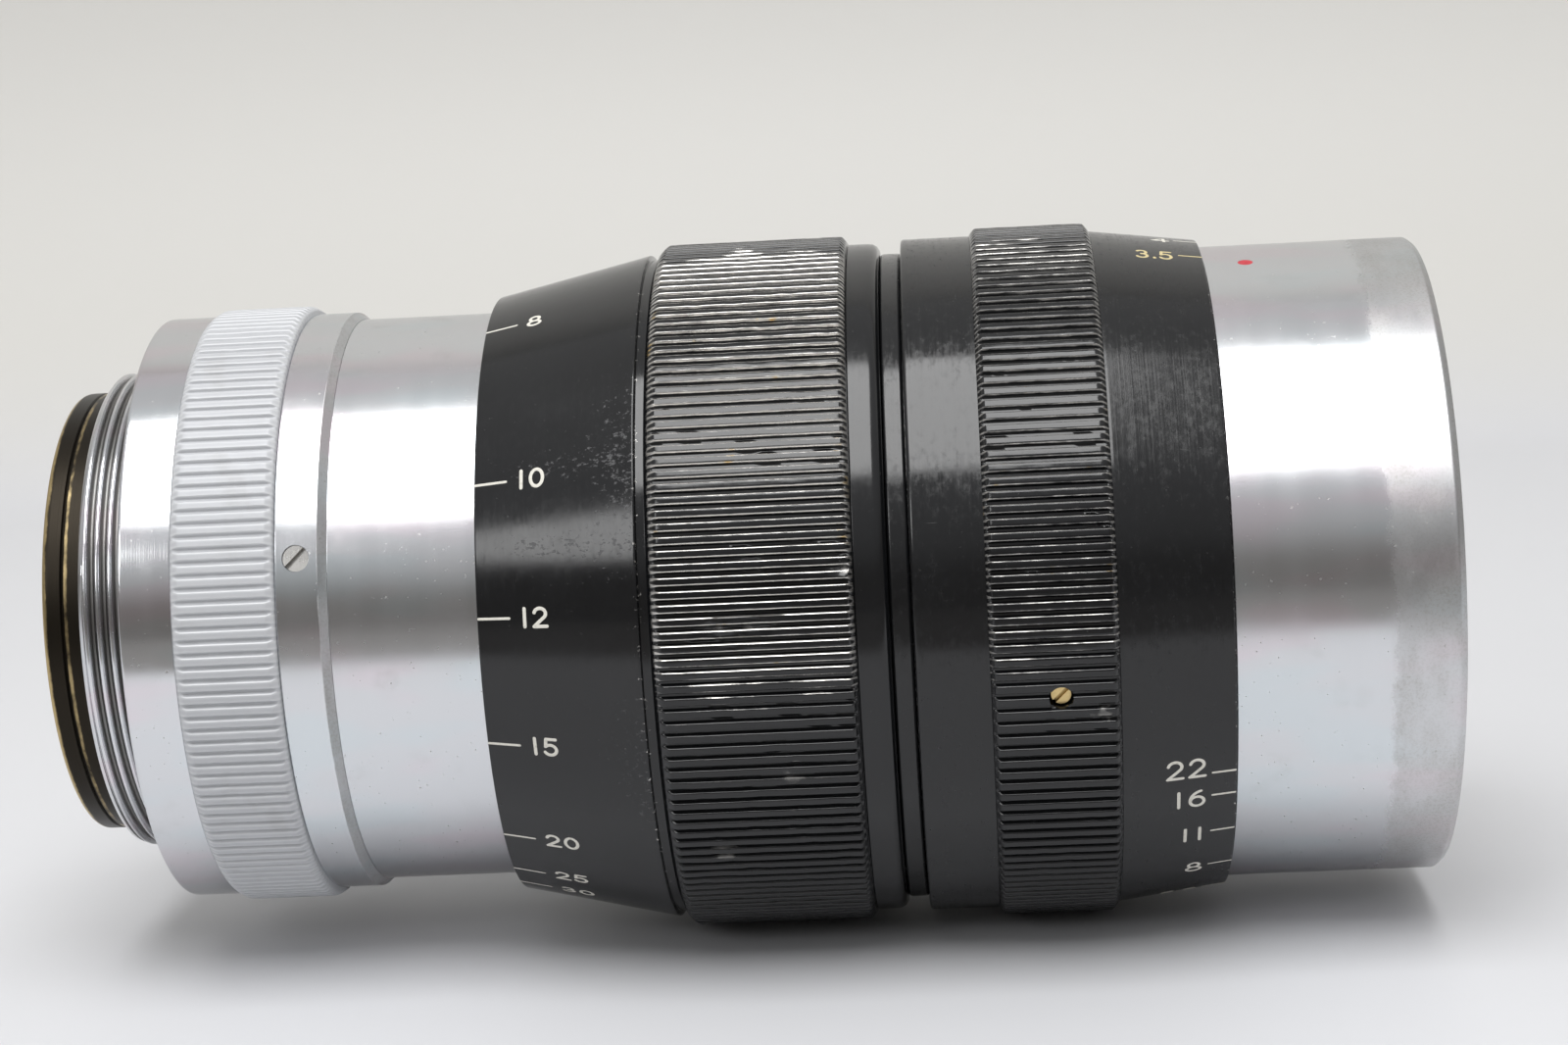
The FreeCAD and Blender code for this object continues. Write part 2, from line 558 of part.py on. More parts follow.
def head_barrel():
    """The tube that carries both cells and the diaphragm."""
    spigot_x = NOSE_X + 1
    barrel = lathe([(spigot_x, HEAD_SPIGOT_BORE_R), (spigot_x, HEAD_SPIGOT_R),
                    (HEAD_COLLAR_X, HEAD_SPIGOT_R), (HEAD_COLLAR_X, HEAD_FLANGE_R),
                    (APERTURE_X, HEAD_FLANGE_R), (APERTURE_X, HEAD_R), (FRONT_X, HEAD_R),
                    (FRONT_X, HEAD_NOSE_R), (HEAD_END_X, HEAD_NOSE_R), (HEAD_END_X, HEAD_BORE_R),
                    (IRIS_X, HEAD_BORE_R), (IRIS_X, HEAD_SPIGOT_BORE_R)])
    for theta in DRIVE_THETAS:
        barrel = barrel.cut(drive_slot(theta))
    return barrel


def drive_slot(theta):
    """The long slot that a drive screw's point travels in."""
    half = DRIVE_POINT_R + 2 * PIN_GAP
    return sector(DRIVE_X - half, DRIVE_X + half, HEAD_R + 1, HEAD_BORE_R - 0.5,
                  theta - SLOT_MARGIN, APERTURE_TURN + 2 * SLOT_MARGIN)


def front_barrel():
    inner_r = HEAD_NOSE_R + SEAT_GAP
    shoulder_r = FRONT_GLASS_R + 1.0
    crest_r = FILTER_R - FILTER_CREST
    thread_x = RIM_X - FILTER_DEPTH
    grooves = thread_grooves(thread_x, RIM_X - 0.3, crest_r, FILTER_CREST, FILTER_PITCH, inward=False)
    return lathe([(FRONT_X, inner_r), (FRONT_X, FRONT_R - 0.15), (FRONT_X + 0.15, FRONT_R),
                  (RIM_X - 0.6, FRONT_R), (RIM_X - 0.2, FRONT_R - 0.15), (RIM_X, FRONT_R - 0.4),
                  (RIM_X, FILTER_R)]
                 + grooves[::-1]
                 + [(thread_x - 0.6, crest_r), (CELL_END_X + 0.6, shoulder_r),
                    (CELL_END_X, shoulder_r), (CELL_END_X, inner_r)])


# ---- aperture ring --------------------------------------------------------------------------------
def aperture_ring():
    rear = APERTURE_X + END_GAP
    front = FRONT_X - END_GAP
    bore_r = HEAD_R + RUN_GAP
    root_r = APERTURE_KNURL_R - KNURL_BEVEL - 0.3
    body = lathe([(rear, bore_r), (rear, APERTURE_LAND_R - 0.25), (rear + 0.25, APERTURE_LAND_R),
                  (APERTURE_KNURL_X, APERTURE_LAND_R), (APERTURE_KNURL_X, root_r),
                  (APERTURE_CONE_X, root_r), (APERTURE_CONE_X, APERTURE_CONE_REAR_R),
                  (front - 0.1, APERTURE_CONE_FRONT_R), (front, APERTURE_CONE_FRONT_R - 0.1),
                  (front, bore_r)])
    ridges = knurl(APERTURE_KNURL_X, APERTURE_CONE_X, APERTURE_KNURL_R, KNURL_DEPTH, APERTURE_TEETH,
                   KNURL_BEVEL)
    ring = body.fuse(ridges.cut(rod(rear, front, root_r - 0.5)))
    mouth_r = APERTURE_KNURL_R - DRIVE_HOLE_DEPTH
    for theta in DRIVE_THETAS:
        ring = ring.cut(radial_rod(DRIVE_X, theta, HEAD_R - 1, mouth_r + 0.1, DRIVE_SCREW_R + SEAT_GAP))
        ring = ring.cut(radial_rod(DRIVE_X, theta, mouth_r, APERTURE_KNURL_R + 1, DRIVE_HOLE_R))
    return ring


def aperture_drive_screws():
    """Brass screws through the aperture ring, whose points turn the iris ring."""
    screws = []
    for theta in DRIVE_THETAS:
        body = slotted_screw(DRIVE_X, theta, HEAD_R + 4 * RUN_GAP, APERTURE_KNURL_R - DRIVE_HOLE_DEPTH,
                             DRIVE_SCREW_R, 0.4, 0.3)
        point = radial_rod(DRIVE_X, theta, HEAD_BORE_R - DRIVE_POINT_BITE, HEAD_R + 5 * RUN_GAP,
                           DRIVE_POINT_R)
        screws.append(body.fuse(point))
    return groups(screws)


# ---- diaphragm ------------------------------------------------------------------------------------
def blade_theta(index):
    return index * 360.0 / BLADES


def iris_housing():
    """The cup behind the blades, with a pivot hole for each."""
    wall_r = BLADE_OUTER_R + IRIS_WALL_GAP
    outer_r = HEAD_BORE_R - SEAT_GAP
    floor_x = IRIS_X + IRIS_FLOOR
    cup = lathe([(IRIS_X, IRIS_CLEAR_R), (IRIS_X, outer_r), (IRIS_RING_X - END_GAP, outer_r),
                 (IRIS_RING_X - END_GAP, wall_r), (floor_x, wall_r), (floor_x, IRIS_CLEAR_R)])
    for index in range(BLADES):
        cup = cup.cut(rod(IRIS_X + 0.2, floor_x + 1, STUD_R + PIN_GAP, BLADE_CENTRE_R, blade_theta(index)))
    return cup


def stud_wander():
    """How far a driven stud strays from a radial line on the iris ring, at the widest."""
    widest = 0.0
    for step in range(-20, 21):
        lean = math.radians(BLADE_SWING / 2) * step / 20
        across = BLADE_CHORD * math.sin(lean)
        inward = BLADE_CHORD * math.cos(lean) - BLADE_CENTRE_R
        stray = math.atan2(across, inward) - 2 * lean
        widest = max(widest, abs(stray) * math.hypot(across, inward))
    return widest


def iris_ring():
    """The ring that drives the blades, with a radial slot for each stud."""
    front = IRIS_RING_X + IRIS_RING_THICK
    ring = tube(IRIS_RING_X, front, HEAD_BORE_R - RUN_GAP, IRIS_CLEAR_R)
    half = STUD_R + PIN_GAP + stud_wander()
    low_r = BLADE_CHORD - BLADE_CENTRE_R - STUD_R - PIN_GAP
    high_r = BLADE_CENTRE_R + STUD_R + PIN_GAP
    slot = Part.makeBox(2 * IRIS_RING_THICK, 2 * half, high_r - low_r,
                        FreeCAD.Vector(IRIS_RING_X - 0.5, -half, low_r))
    for index in range(BLADES):
        ring = ring.cut(turned(slot, blade_theta(index) + BLADE_SPAN))
    for theta in DRIVE_THETAS:
        ring = ring.cut(radial_rod(DRIVE_X, theta, HEAD_BORE_R - DRIVE_POINT_BITE - 0.1, HEAD_R,
                                   DRIVE_POINT_R + SEAT_GAP))
    return ring


def iris_cover_ring():
    return tube(COVER_X, CELL_X, HEAD_BORE_R - SEAT_GAP, IRIS_CLEAR_R + 1)


def lug_end(x, theta, outward):
    """The far point of a blade's round end, beyond or before the stud."""
    shift = math.degrees(BLADE_LUG_R / BLADE_CENTRE_R) * (1 if outward else -1)
    return at(x, BLADE_CENTRE_R, theta + shift)


def blade_outline(x):
    """A curved blade that narrows to a round lug at each end."""
    wide_out, wide_in = BLADE_CENTRE_R + BLADE_HALF_WIDTH, BLADE_CENTRE_R - BLADE_HALF_WIDTH
    lug_out, lug_in = BLADE_CENTRE_R + BLADE_LUG_R, BLADE_CENTRE_R - BLADE_LUG_R
    middle, taper, span = BLADE_SPAN / 2, BLADE_TAPER, BLADE_SPAN
    corners = [(lug_out, 0), ((lug_out + wide_out) / 2, taper / 2), (wide_out, taper),
               (wide_out, middle), (wide_out, span - taper),
               ((lug_out + wide_out) / 2, span - taper / 2), (lug_out, span)]
    inner = [(lug_in, span), ((lug_in + wide_in) / 2, span - taper / 2), (wide_in, span - taper),
             (wide_in, middle), (wide_in, taper), ((lug_in + wide_in) / 2, taper / 2), (lug_in, 0)]
    points = [at(x, radius, theta) for radius, theta in corners]
    points.append(lug_end(x, span, True))
    points.extend(at(x, radius, theta) for radius, theta in inner)
    points.append(lug_end(x, 0, False))
    points.append(points[0])
    arcs = [Part.Arc(*points[start:start + 3]).toShape() for start in range(0, len(points) - 2, 2)]
    return Part.Face(Part.Wire(arcs))


def iris_blade(index):
    base_x = IRIS_X + IRIS_FLOOR + BLADE_ROOM
    pivot = at(base_x, BLADE_CENTRE_R, 0)
    chord = at(base_x, BLADE_CENTRE_R, BLADE_SPAN) - pivot
    plate = blade_outline(base_x).extrude(FreeCAD.Vector(BLADE_THICK, 0, 0))
    plate.rotate(pivot, chord.cross(FreeCAD.Vector(1, 0, 0)), math.degrees(math.atan(BLADE_TILT)))
    foot = rod(IRIS_X + 0.3, base_x + BLADE_THICK / 2, STUD_R, BLADE_CENTRE_R, 0)
    top_x = base_x + BLADE_TILT * BLADE_CHORD
    head = rod(top_x, IRIS_RING_X + IRIS_RING_THICK - 0.2, STUD_R, BLADE_CENTRE_R, BLADE_SPAN)
    return turned(plate.fuse([foot, head]), blade_theta(index))


# ---- glass and its cells --------------------------------------------------------------------------
def glass(start, rim, radius, rear_curve, front_curve):
    """A round glass with spherical faces. A curve is positive when its centre lies ahead of the face."""
    end = start + rim

    def section_point(x, height, curve):
        return FreeCAD.Vector(x + face_sag(height, radius, curve), 0, height)

    rear = [section_point(start, height, rear_curve) for height in (0, radius / 2, radius)]
    front = [section_point(end, height, front_curve) for height in (radius, radius / 2, 0)]
    edges = [Part.Arc(*rear).toShape(), Part.makeLine(rear[2], front[0]),
             Part.Arc(*front).toShape(), Part.makeLine(front[2], rear[0])]
    section = Part.Face(Part.Wire(edges))
    return section.revolve(FreeCAD.Vector(0, 0, 0), FreeCAD.Vector(1, 0, 0), 360)


def front_element():
    return glass(FRONT_GLASS_X, FRONT_GLASS_RIM, FRONT_GLASS_R, *FRONT_CURVES)


def doublet_rear():
    return glass(DOUBLET_X, DOUBLET_REAR_RIM, DOUBLET_R, DOUBLET_CURVES[0], DOUBLET_CURVES[1])


def doublet_front():
    return glass(DOUBLET_X + DOUBLET_REAR_RIM, DOUBLET_FRONT_RIM, DOUBLET_R, DOUBLET_CURVES[1],
                 DOUBLET_CURVES[2])


def rear_element():
    return glass(REAR_GLASS_X, REAR_GLASS_RIM, REAR_GLASS_R, *REAR_CURVES)


def front_cell():
    """The cell that screws into the head barrel and holds the front glass and the doublet."""
    outer_r = HEAD_BORE_R - SEAT_GAP
    doublet_r = DOUBLET_R + GLASS_GAP
    glass_r = FRONT_GLASS_R + GLASS_GAP
    waist_r = DOUBLET_R + CELL_WALL
    return lathe([(CELL_X, outer_r - 2), (CELL_X, outer_r), (CELL_X + 3, outer_r), (CELL_X + 3, waist_r),
                  (FRONT_GLASS_X - 2, waist_r), (FRONT_GLASS_X - 2, outer_r), (HEAD_END_X, outer_r),
                  (HEAD_END_X, HEAD_NOSE_R), (CELL_END_X, HEAD_NOSE_R), (CELL_END_X, glass_r),
                  (FRONT_GLASS_X, glass_r), (FRONT_GLASS_X, doublet_r), (DOUBLET_X, doublet_r),
                  (DOUBLET_X, DOUBLET_R - 1), (DOUBLET_X - 1, DOUBLET_R - 1)])


def coned_ring(seat_x, length, outer_r, inner_r, slope):
    """A retaining ring that meets a glass at its rim and clears its bulging face."""
    return lathe([(seat_x, outer_r), (seat_x + slope, inner_r), (seat_x + length, inner_r),
                  (seat_x + length, outer_r)])


def doublet_retaining_ring():
    return coned_ring(DOUBLET_END_X, 2.2, DOUBLET_R, DOUBLET_R - 1.6, 0.8)


def front_retaining_ring():
    start = FRONT_GLASS_X + FRONT_GLASS_RIM
    return coned_ring(start, CELL_END_X + 0.3 - start, FRONT_GLASS_R, FRONT_GLASS_R - 1.1, 0.5)


def rear_cell():
    outer_r = HEAD_SPIGOT_BORE_R - SEAT_GAP
    glass_r = REAR_GLASS_R + GLASS_GAP
    seat_x = REAR_GLASS_X + REAR_GLASS_RIM
    return lathe([(REAR_CELL_X, glass_r), (REAR_CELL_X, outer_r), (seat_x + 2.4, outer_r),
                  (seat_x + 2.4, REAR_GLASS_R - 1.2), (seat_x + 0.2, REAR_GLASS_R - 1),
                  (seat_x, glass_r)])


def rear_retaining_ring():
    return coned_ring(REAR_GLASS_X, -1.6, REAR_GLASS_R, REAR_GLASS_R - 1.1, -0.35)


# ---- build ----------------------------------------------------------------------------------------
PARTS = {
    "mount_flange": mount_flange,
    "mount_grip_ring": mount_grip_ring,
    "mount_collar": mount_collar,
    "collar_set_screws": collar_set_screws,
    "fixed_barrel": fixed_barrel,
    "cam_guide_key": lambda: cam_key_body(0.0),
    "stop_segment": stop_segment,
    "stop_segment_screws": stop_segment_screws,
    "rf_cam_ring": rf_cam_ring,
    "rear_baffle": rear_baffle,
    "helicoid_sleeve": helicoid_sleeve,
    "focus_ring": focus_ring,
    "focus_ring_screws": focus_ring_screws,
    "stop_rail": stop_rail,
    "stop_rail_screws": stop_rail_screws,
    "head_collar": head_collar,
    "head_barrel": head_barrel,
    "front_barrel": front_barrel,
    "iris_housing": iris_housing,
    "iris_cover_ring": iris_cover_ring,
    "front_cell": front_cell,
    "front_element": front_element,
    "front_retaining_ring": front_retaining_ring,
    "doublet_front": doublet_front,
    "doublet_rear": doublet_rear,
    "doublet_retaining_ring": doublet_retaining_ring,
    "rear_cell": rear_cell,
    "rear_element": rear_element,
    "rear_retaining_ring": rear_retaining_ring,
    "aperture_ring": aperture_ring,
    "aperture_drive_screws": aperture_drive_screws,
    "iris_ring": iris_ring,
}
for number in range(BLADES):
    PARTS["iris_blade_%d" % (number + 1)] = lambda index=number: iris_blade(index)


def build():
    os.makedirs("parts", exist_ok=True)
    for node, make in PARTS.items():
        make().exportStep("parts/%s.step" % node)


if __name__ == "__main__":
    build()
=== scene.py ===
"""A long screw-mount camera lens: its visible pieces, finishes, light and camera, set round the
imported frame. Lengths are in mm and angles in degrees unless a name says otherwise."""
import math

import bmesh
import bpy
import numpy as np
from mathutils import Matrix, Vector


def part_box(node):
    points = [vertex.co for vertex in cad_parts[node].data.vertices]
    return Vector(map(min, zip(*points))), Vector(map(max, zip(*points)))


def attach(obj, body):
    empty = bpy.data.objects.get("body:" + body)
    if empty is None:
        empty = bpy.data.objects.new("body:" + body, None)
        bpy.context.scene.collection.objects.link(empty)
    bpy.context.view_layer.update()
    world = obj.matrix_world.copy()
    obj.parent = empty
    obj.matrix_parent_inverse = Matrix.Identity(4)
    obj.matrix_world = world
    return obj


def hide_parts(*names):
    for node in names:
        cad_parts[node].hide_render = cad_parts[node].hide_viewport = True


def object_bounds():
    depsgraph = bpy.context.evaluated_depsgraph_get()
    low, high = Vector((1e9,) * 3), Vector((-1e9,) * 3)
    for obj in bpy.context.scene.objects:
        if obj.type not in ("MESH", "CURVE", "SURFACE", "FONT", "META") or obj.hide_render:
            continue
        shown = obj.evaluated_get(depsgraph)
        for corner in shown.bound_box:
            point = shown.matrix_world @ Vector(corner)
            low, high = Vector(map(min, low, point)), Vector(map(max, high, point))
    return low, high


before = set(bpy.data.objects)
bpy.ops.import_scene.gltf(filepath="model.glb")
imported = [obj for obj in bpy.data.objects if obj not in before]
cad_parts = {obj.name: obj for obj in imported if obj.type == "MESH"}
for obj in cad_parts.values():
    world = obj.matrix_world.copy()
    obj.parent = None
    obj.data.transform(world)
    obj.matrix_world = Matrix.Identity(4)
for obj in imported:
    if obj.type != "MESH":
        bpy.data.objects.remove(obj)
cad_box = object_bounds()

MM = 0.001


def start_of(node):
    """Where a CAD node begins along the axis, in mm."""
    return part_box(node)[0][0] / MM


def end_of(node):
    """Where a CAD node ends along the axis, in mm."""
    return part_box(node)[1][0] / MM


# ---- stations along the axis, and radii ----------------------------------------------------------
CAM_REAR, CAM_FRONT = start_of("rf_cam_ring"), end_of("rf_cam_ring")
THREAD_REAR, FLANGE_FRONT = start_of("mount_flange"), end_of("mount_flange")
GRIP_FRONT = end_of("mount_grip_ring")
COLLAR_FRONT = end_of("mount_collar")
BARREL_REAR, BARREL_FRONT = start_of("fixed_barrel"), end_of("fixed_barrel")
FOCUS_REAR, FOCUS_FRONT = start_of("focus_ring"), end_of("focus_ring")
CONE_LONG, LAND_LONG = 12.4, 2.6
CONE_FRONT = FOCUS_REAR + CONE_LONG
KNURL_REAR = CONE_FRONT + 0.7
LAND_REAR = FOCUS_FRONT - LAND_LONG
HEAD_REAR, HEAD_FRONT = start_of("head_collar"), end_of("head_collar")
APERTURE_REAR, APERTURE_FRONT = start_of("aperture_ring"), end_of("aperture_ring")
A_KNURL_REAR = HEAD_FRONT + 5.55
A_KNURL_FRONT = A_KNURL_REAR + 9.6
CONE_GAP = 0.2
FRONT_REAR, RIM = start_of("front_barrel"), end_of("front_barrel")
CELL_FRONT = end_of("front_cell")

BARREL_R, BARREL_BORE_R, COLLAR_R, GRIP_R, FLANGE_R = 23.0, 20.5, 23.6, 24.3, 23.8
NECK_R, THREAD_R, THREAD_ROOT_R, THREAD_BORE_R = 21.5, 19.5, 18.95, 18.05
CAM_R, CAM_BORE_R = 18.0, 16.55
CONE_REAR_R, CONE_FRONT_R, LAND_R, KNURL_R = 24.27, 27.05, 27.1, 27.8
A_LAND_R, A_KNURL_R, A_CONE_REAR_R, A_CONE_FRONT_R = 27.3, 27.9, 27.2, 26.1
HEAD_R, HEAD_BORE_R, HEAD_NOSE_R, FRONT_R, FILTER_R = 24.0, 22.3, 23.4, 25.5, 24.0
HEAD_COLLAR_R, CELL_R, WAIST_R, DOUBLET_SEAT_R, FRONT_SEAT_R = 26.2, 22.28, 19.3, 17.63, 20.63
FILTER_CREST_R = FILTER_R - 0.4
SEAT, SLIDE = 0.02, 0.05    # the gap where pieces rest on each other, and where one turns on another
MOUNT_PITCH, FILTER_PITCH = 25.4 / 26, 0.75

# Angles round the axis, from the top towards the camera side.
FOCUS_INDEX, APERTURE_MARKS = 194.3, (14.4, 194.4)
SET_SCREWS, DRIVE_SCREWS = (72, 192, 312), (100.3, 220.3, 340.3)


# ---- surfaces -------------------------------------------------------------------------------------
def round_the_axis(x, radius, theta):
    """(x, -r sin t, r cos t): a point at angle t from the top, turning towards the camera side."""
    angle = np.radians(theta)
    x, radius, angle = np.broadcast_arrays(x, radius, angle)
    return np.stack((x, -radius * np.sin(angle), radius * np.cos(angle)), axis=-1)


def grid_faces(rows, columns, loop_rows, loop_columns):
    """Four corners for each cell of a grid, joined round where rows or columns loop."""
    row = np.arange(rows if loop_rows else rows - 1)[:, None]
    column = np.arange(columns if loop_columns else columns - 1)[None, :]
    above, right = (row + 1) % rows, (column + 1) % columns
    corners = (row * columns + column, row * columns + right, above * columns + right,
               above * columns + column)
    return np.stack(corners, axis=-1).reshape(-1, 4)


def mend_shell(mesh, repair):
    """Opens a mesh for editing, runs the repair on it, and puts it back."""
    shell = bmesh.new()
    shell.from_mesh(mesh)
    repair(shell)
    shell.to_mesh(mesh)
    shell.free()


def merge_doubles(shell):
    bmesh.ops.remove_doubles(shell, verts=shell.verts, dist=1e-7)


def face_outwards(shell):
    bmesh.ops.recalc_face_normals(shell, faces=shell.faces)


def put_in_scene(thing, name):
    """An object for a mesh, a lamp or a camera, at the origin, linked to the scene."""
    holder = bpy.data.objects.new(name, thing)
    bpy.context.scene.collection.objects.link(holder)
    return holder


def add_piece(name, points, faces, finish, body, nodes=(), marks=None, weld=False, smooth=40):
    """An object from points and faces, with its finish, body and the nodes it replaces. Edges sharper
    than the smooth angle stay crisp."""
    mesh = bpy.data.meshes.new(name)
    mesh.from_pydata(points.reshape(-1, 3) * MM, [], faces)
    for label, values in (marks or {}).items():
        layer = mesh.attributes.new(label, "FLOAT", "POINT")
        layer.data.foreach_set("value", np.ascontiguousarray(values, dtype=np.float32).reshape(-1))
    if weld:
        mend_shell(mesh, merge_doubles)
    mesh.shade_smooth()
    mesh.set_sharp_from_angle(angle=math.radians(smooth))
    mesh.materials.append(finish)
    piece = put_in_scene(mesh, name)
    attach(piece, body)
    if nodes:
        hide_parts(*nodes)
    return piece


USUAL_BEND, BEND_STEPS = 0.1, 4
LEAST_REACH, MOST_REACH = 0.015, 0.42


def contour(corners):
    """Rows (x, r) of a closed outline from corners (x, r, bend radius). Each corner becomes a
    parabola between points a short reach before and after it, with a further point beyond each end
    to hold the flats. A corner whose bend is 0 stays one point."""
    table = np.array([corner if len(corner) == 3 else (*corner, USUAL_BEND) for corner in corners])
    point, bend = table[:, :2], table[:, 2]
    back, ahead = np.roll(point, 1, axis=0) - point, np.roll(point, -1, axis=0) - point
    back_long, ahead_long = np.linalg.norm(back, axis=1), np.linalg.norm(ahead, axis=1)
    back, ahead = back / back_long[:, None], ahead / ahead_long[:, None]
    half = 0.5 * np.arccos(np.clip((back * ahead).sum(axis=1), -0.999, 0.999))
    reach = np.clip(bend / np.tan(half), LEAST_REACH, MOST_REACH * np.minimum(back_long, ahead_long))
    t = np.linspace(0, 1, BEND_STEPS + 1)[None, :, None]
    enter, leave = point + back * reach[:, None], point + ahead * reach[:, None]
    arc = (1 - t) ** 2 * enter[:, None] + 2 * t * (1 - t) * point[:, None] + t ** 2 * leave[:, None]
    lead = point + back * np.minimum(1.5 * reach, 0.48 * back_long)[:, None]
    trail = point + ahead * np.minimum(1.5 * reach, 0.48 * ahead_long)[:, None]
    rows = np.concatenate((lead[:, None], arc, trail[:, None]), axis=1)
    single = bend <= 0
    rows[single] = point[single][:, None]
    keep = np.ones(rows.shape[:2], bool)
    keep[single, 1:] = False
    return rows[keep]


def turned_piece(name, corners, finish, body, nodes=(), columns=360, relief=None, scuffs_and_highlights=()):
    """A closed outline turned round the axis. relief(x, r, theta) changes the radius of any point, and
    the sunk mark says by how much. The scuff mark is the highest of the hills exp(-d^2) round the
    scuffs, each (x, theta, half width, half height, strength); it holds scuffs and painted highlights."""
    rows = contour(corners)
    theta = np.arange(columns) * 360 / columns
    x, plain = np.repeat(rows[:, :1], columns, axis=1), np.repeat(rows[:, 1:], columns, axis=1)
    radius = relief(x, plain, theta[None, :]) if relief else plain
    marks = {"sunk": np.abs(plain - radius)} if relief else {}
    if scuffs_and_highlights:
        hills = [strong * np.exp(-((x - middle) / wide) ** 2 - ((theta[None, :] - turn) / high) ** 2)
                 for middle, turn, wide, high, strong in scuffs_and_highlights]
        marks["scuff_and_highlight"] = np.max(hills, axis=0)
    faces = grid_faces(len(rows), columns, True, True)
    points = round_the_axis(x, radius, theta[None, :])
    return add_piece(name, points, faces, finish, body, nodes, marks)


def lattice_noise(u, v, seed, around=0):
    """Random heights from 0 to 1 at whole steps of u and v, eased between them. v repeats after
    the given number of steps around."""
    long_u, long_v = 64, 1024
    heights = np.random.default_rng(seed).random((long_u, long_v))
    low_u, low_v = np.floor(u).astype(int), np.floor(v).astype(int)
    part_u, part_v = u - low_u, v - low_v
    part_u, part_v = part_u ** 2 * (3 - 2 * part_u), part_v ** 2 * (3 - 2 * part_v)
    round_v = around or long_v

    def height(step_u, step_v):
        return heights[(low_u + step_u) % long_u, (low_v + step_v) % round_v]

    near = height(0, 0) * (1 - part_v) + height(0, 1) * part_v
    far = height(1, 0) * (1 - part_v) + height(1, 1) * part_v
    return near * (1 - part_u) + far * part_u


def smooth_step(value, low, high):
    """0 below low, 1 above high, and eased between."""
    part = np.clip((value - low) / (high - low), 0, 1)
    return part * part * (3 - 2 * part)


# Where the rows of points run along one ridge, as shares of the pitch from its middle, and where
# its flat top ends, its foot begins and its rubbed edge lies.
HALF_RIDGE = (0.08, 0.2, 0.26, 0.305, 0.36, 0.42)
RIDGE_PHASES = np.array([-phase for phase in reversed(HALF_RIDGE)] + list(HALF_RIDGE))
RIDGE_TOP, RIDGE_FOOT, RUBBED_AT, RUBBED_WIDE = 0.235, 0.42, 0.262, 0.08
DENT_SEED, GRAIN_SEED, BRUISE_SEED, SIDE_SEED = 11, 12, 13, 14


def knurl_piece(name, start, end, crest_r, depth, teeth, bevels, base_r, finish, body, nodes=(),
                dents=0.03, bruises=(), rub=(1.0, 1.0)):
    """A closed band with straight ridges. The radius is the root's plus the depth times an eased
    step across each ridge, less small dents, and never above the bevel lines at the two ends.
    The edge mark is high on each ridge's two edges, and highest on the quarter from the top round to
    the camera side and on the quarter opposite it: partly wear, and partly a painted sheen that
    brightens the top of the knurl where the light from above falls. rub is its height on those quarters
    and between them. The bruise mark is high where the ring was struck, and each bruise is (x, theta,
    half width, half height, depth)."""
    rear_bevel, front_bevel = bevels
    rise = np.linspace(0, 1, 7)
    flat_x = np.linspace(start + rear_bevel, end - front_bevel, 20)[1:-1]
    outer_x = np.concatenate((start + rear_bevel * rise, flat_x, end - front_bevel * rise[::-1]))
    theta = ((np.arange(teeth)[:, None] + RIDGE_PHASES[None, :]) * 360 / teeth).reshape(-1)
    phase = np.abs(np.tile(RIDGE_PHASES, teeth))
    ridge = 1 - smooth_step(phase, RIDGE_TOP, RIDGE_FOOT)
    x, t = np.meshgrid(outer_x, theta, indexing="ij")
    tooth = np.repeat(np.arange(teeth), len(RIDGE_PHASES))[None, :]
    dent = smooth_step(lattice_noise(x * 1.1, tooth * 1.0, DENT_SEED, teeth), 0.62, 0.95) * dents
    dent = dent + 0.4 * dents * lattice_noise(x * 3.0, t * 2.0, GRAIN_SEED)
    bruise = np.zeros_like(x)
    for middle_x, middle_t, wide, high, deep in bruises:
        near = np.exp(-((x - middle_x) / wide) ** 2 - ((t - middle_t) / high) ** 2)
        chew = smooth_step(lattice_noise(x * 2.6, t * 1.6, BRUISE_SEED), 0.35, 0.8)
        dent = dent + deep * near * chew
        bruise = np.maximum(bruise, near * (0.45 + 0.55 * chew))
    radius = crest_r - depth + (depth - dent) * ridge[None, :]
    lift = np.minimum((x - start) / rear_bevel, (end - x) / front_bevel)
    limit = crest_r - depth * 1.5 * (1 - np.clip(lift, 0, 1)) ** 1.4
    radius = np.minimum(radius, limit)
    edge = np.exp(-((phase - RUBBED_AT) / RUBBED_WIDE) ** 2)[None, :] * np.ones_like(x)
    ends = np.clip(1 - lift, 0, 1) * ridge[None, :]
    # Painted sheen as well as wear: handled is high on the quarter from the top round to the camera
    # side and on the quarter opposite, which raises the edge mark where the light from above brightens
    # the knurl.
    side = (t - 8 + 8 * (lattice_noise(x * 0.4, t * 0.35, SIDE_SEED) - 0.5)) % 180
    handled = smooth_step(side, 0, 8) * (1 - smooth_step(side, 82, 94))
    edge = np.clip(edge + 0.6 * ends, 0, 1) * (rub[1] + (rub[0] - rub[1]) * handled)
    low_x = np.array([end - 0.05, start + 0.05])[:, None] * np.ones_like(x[:2])
    low_r = np.full_like(low_x, base_r)
    x, radius = np.concatenate((x, low_x)), np.concatenate((radius, low_r))
    blank = np.zeros_like(low_x)
    faces = grid_faces(len(x), len(theta), True, True)
    marks = {"edge": np.concatenate((edge, blank)), "bruise": np.concatenate((bruise, blank))}
    return add_piece(name, round_the_axis(x, radius, theta[None, :]), faces, finish, body,
                     nodes, marks, smooth=55)


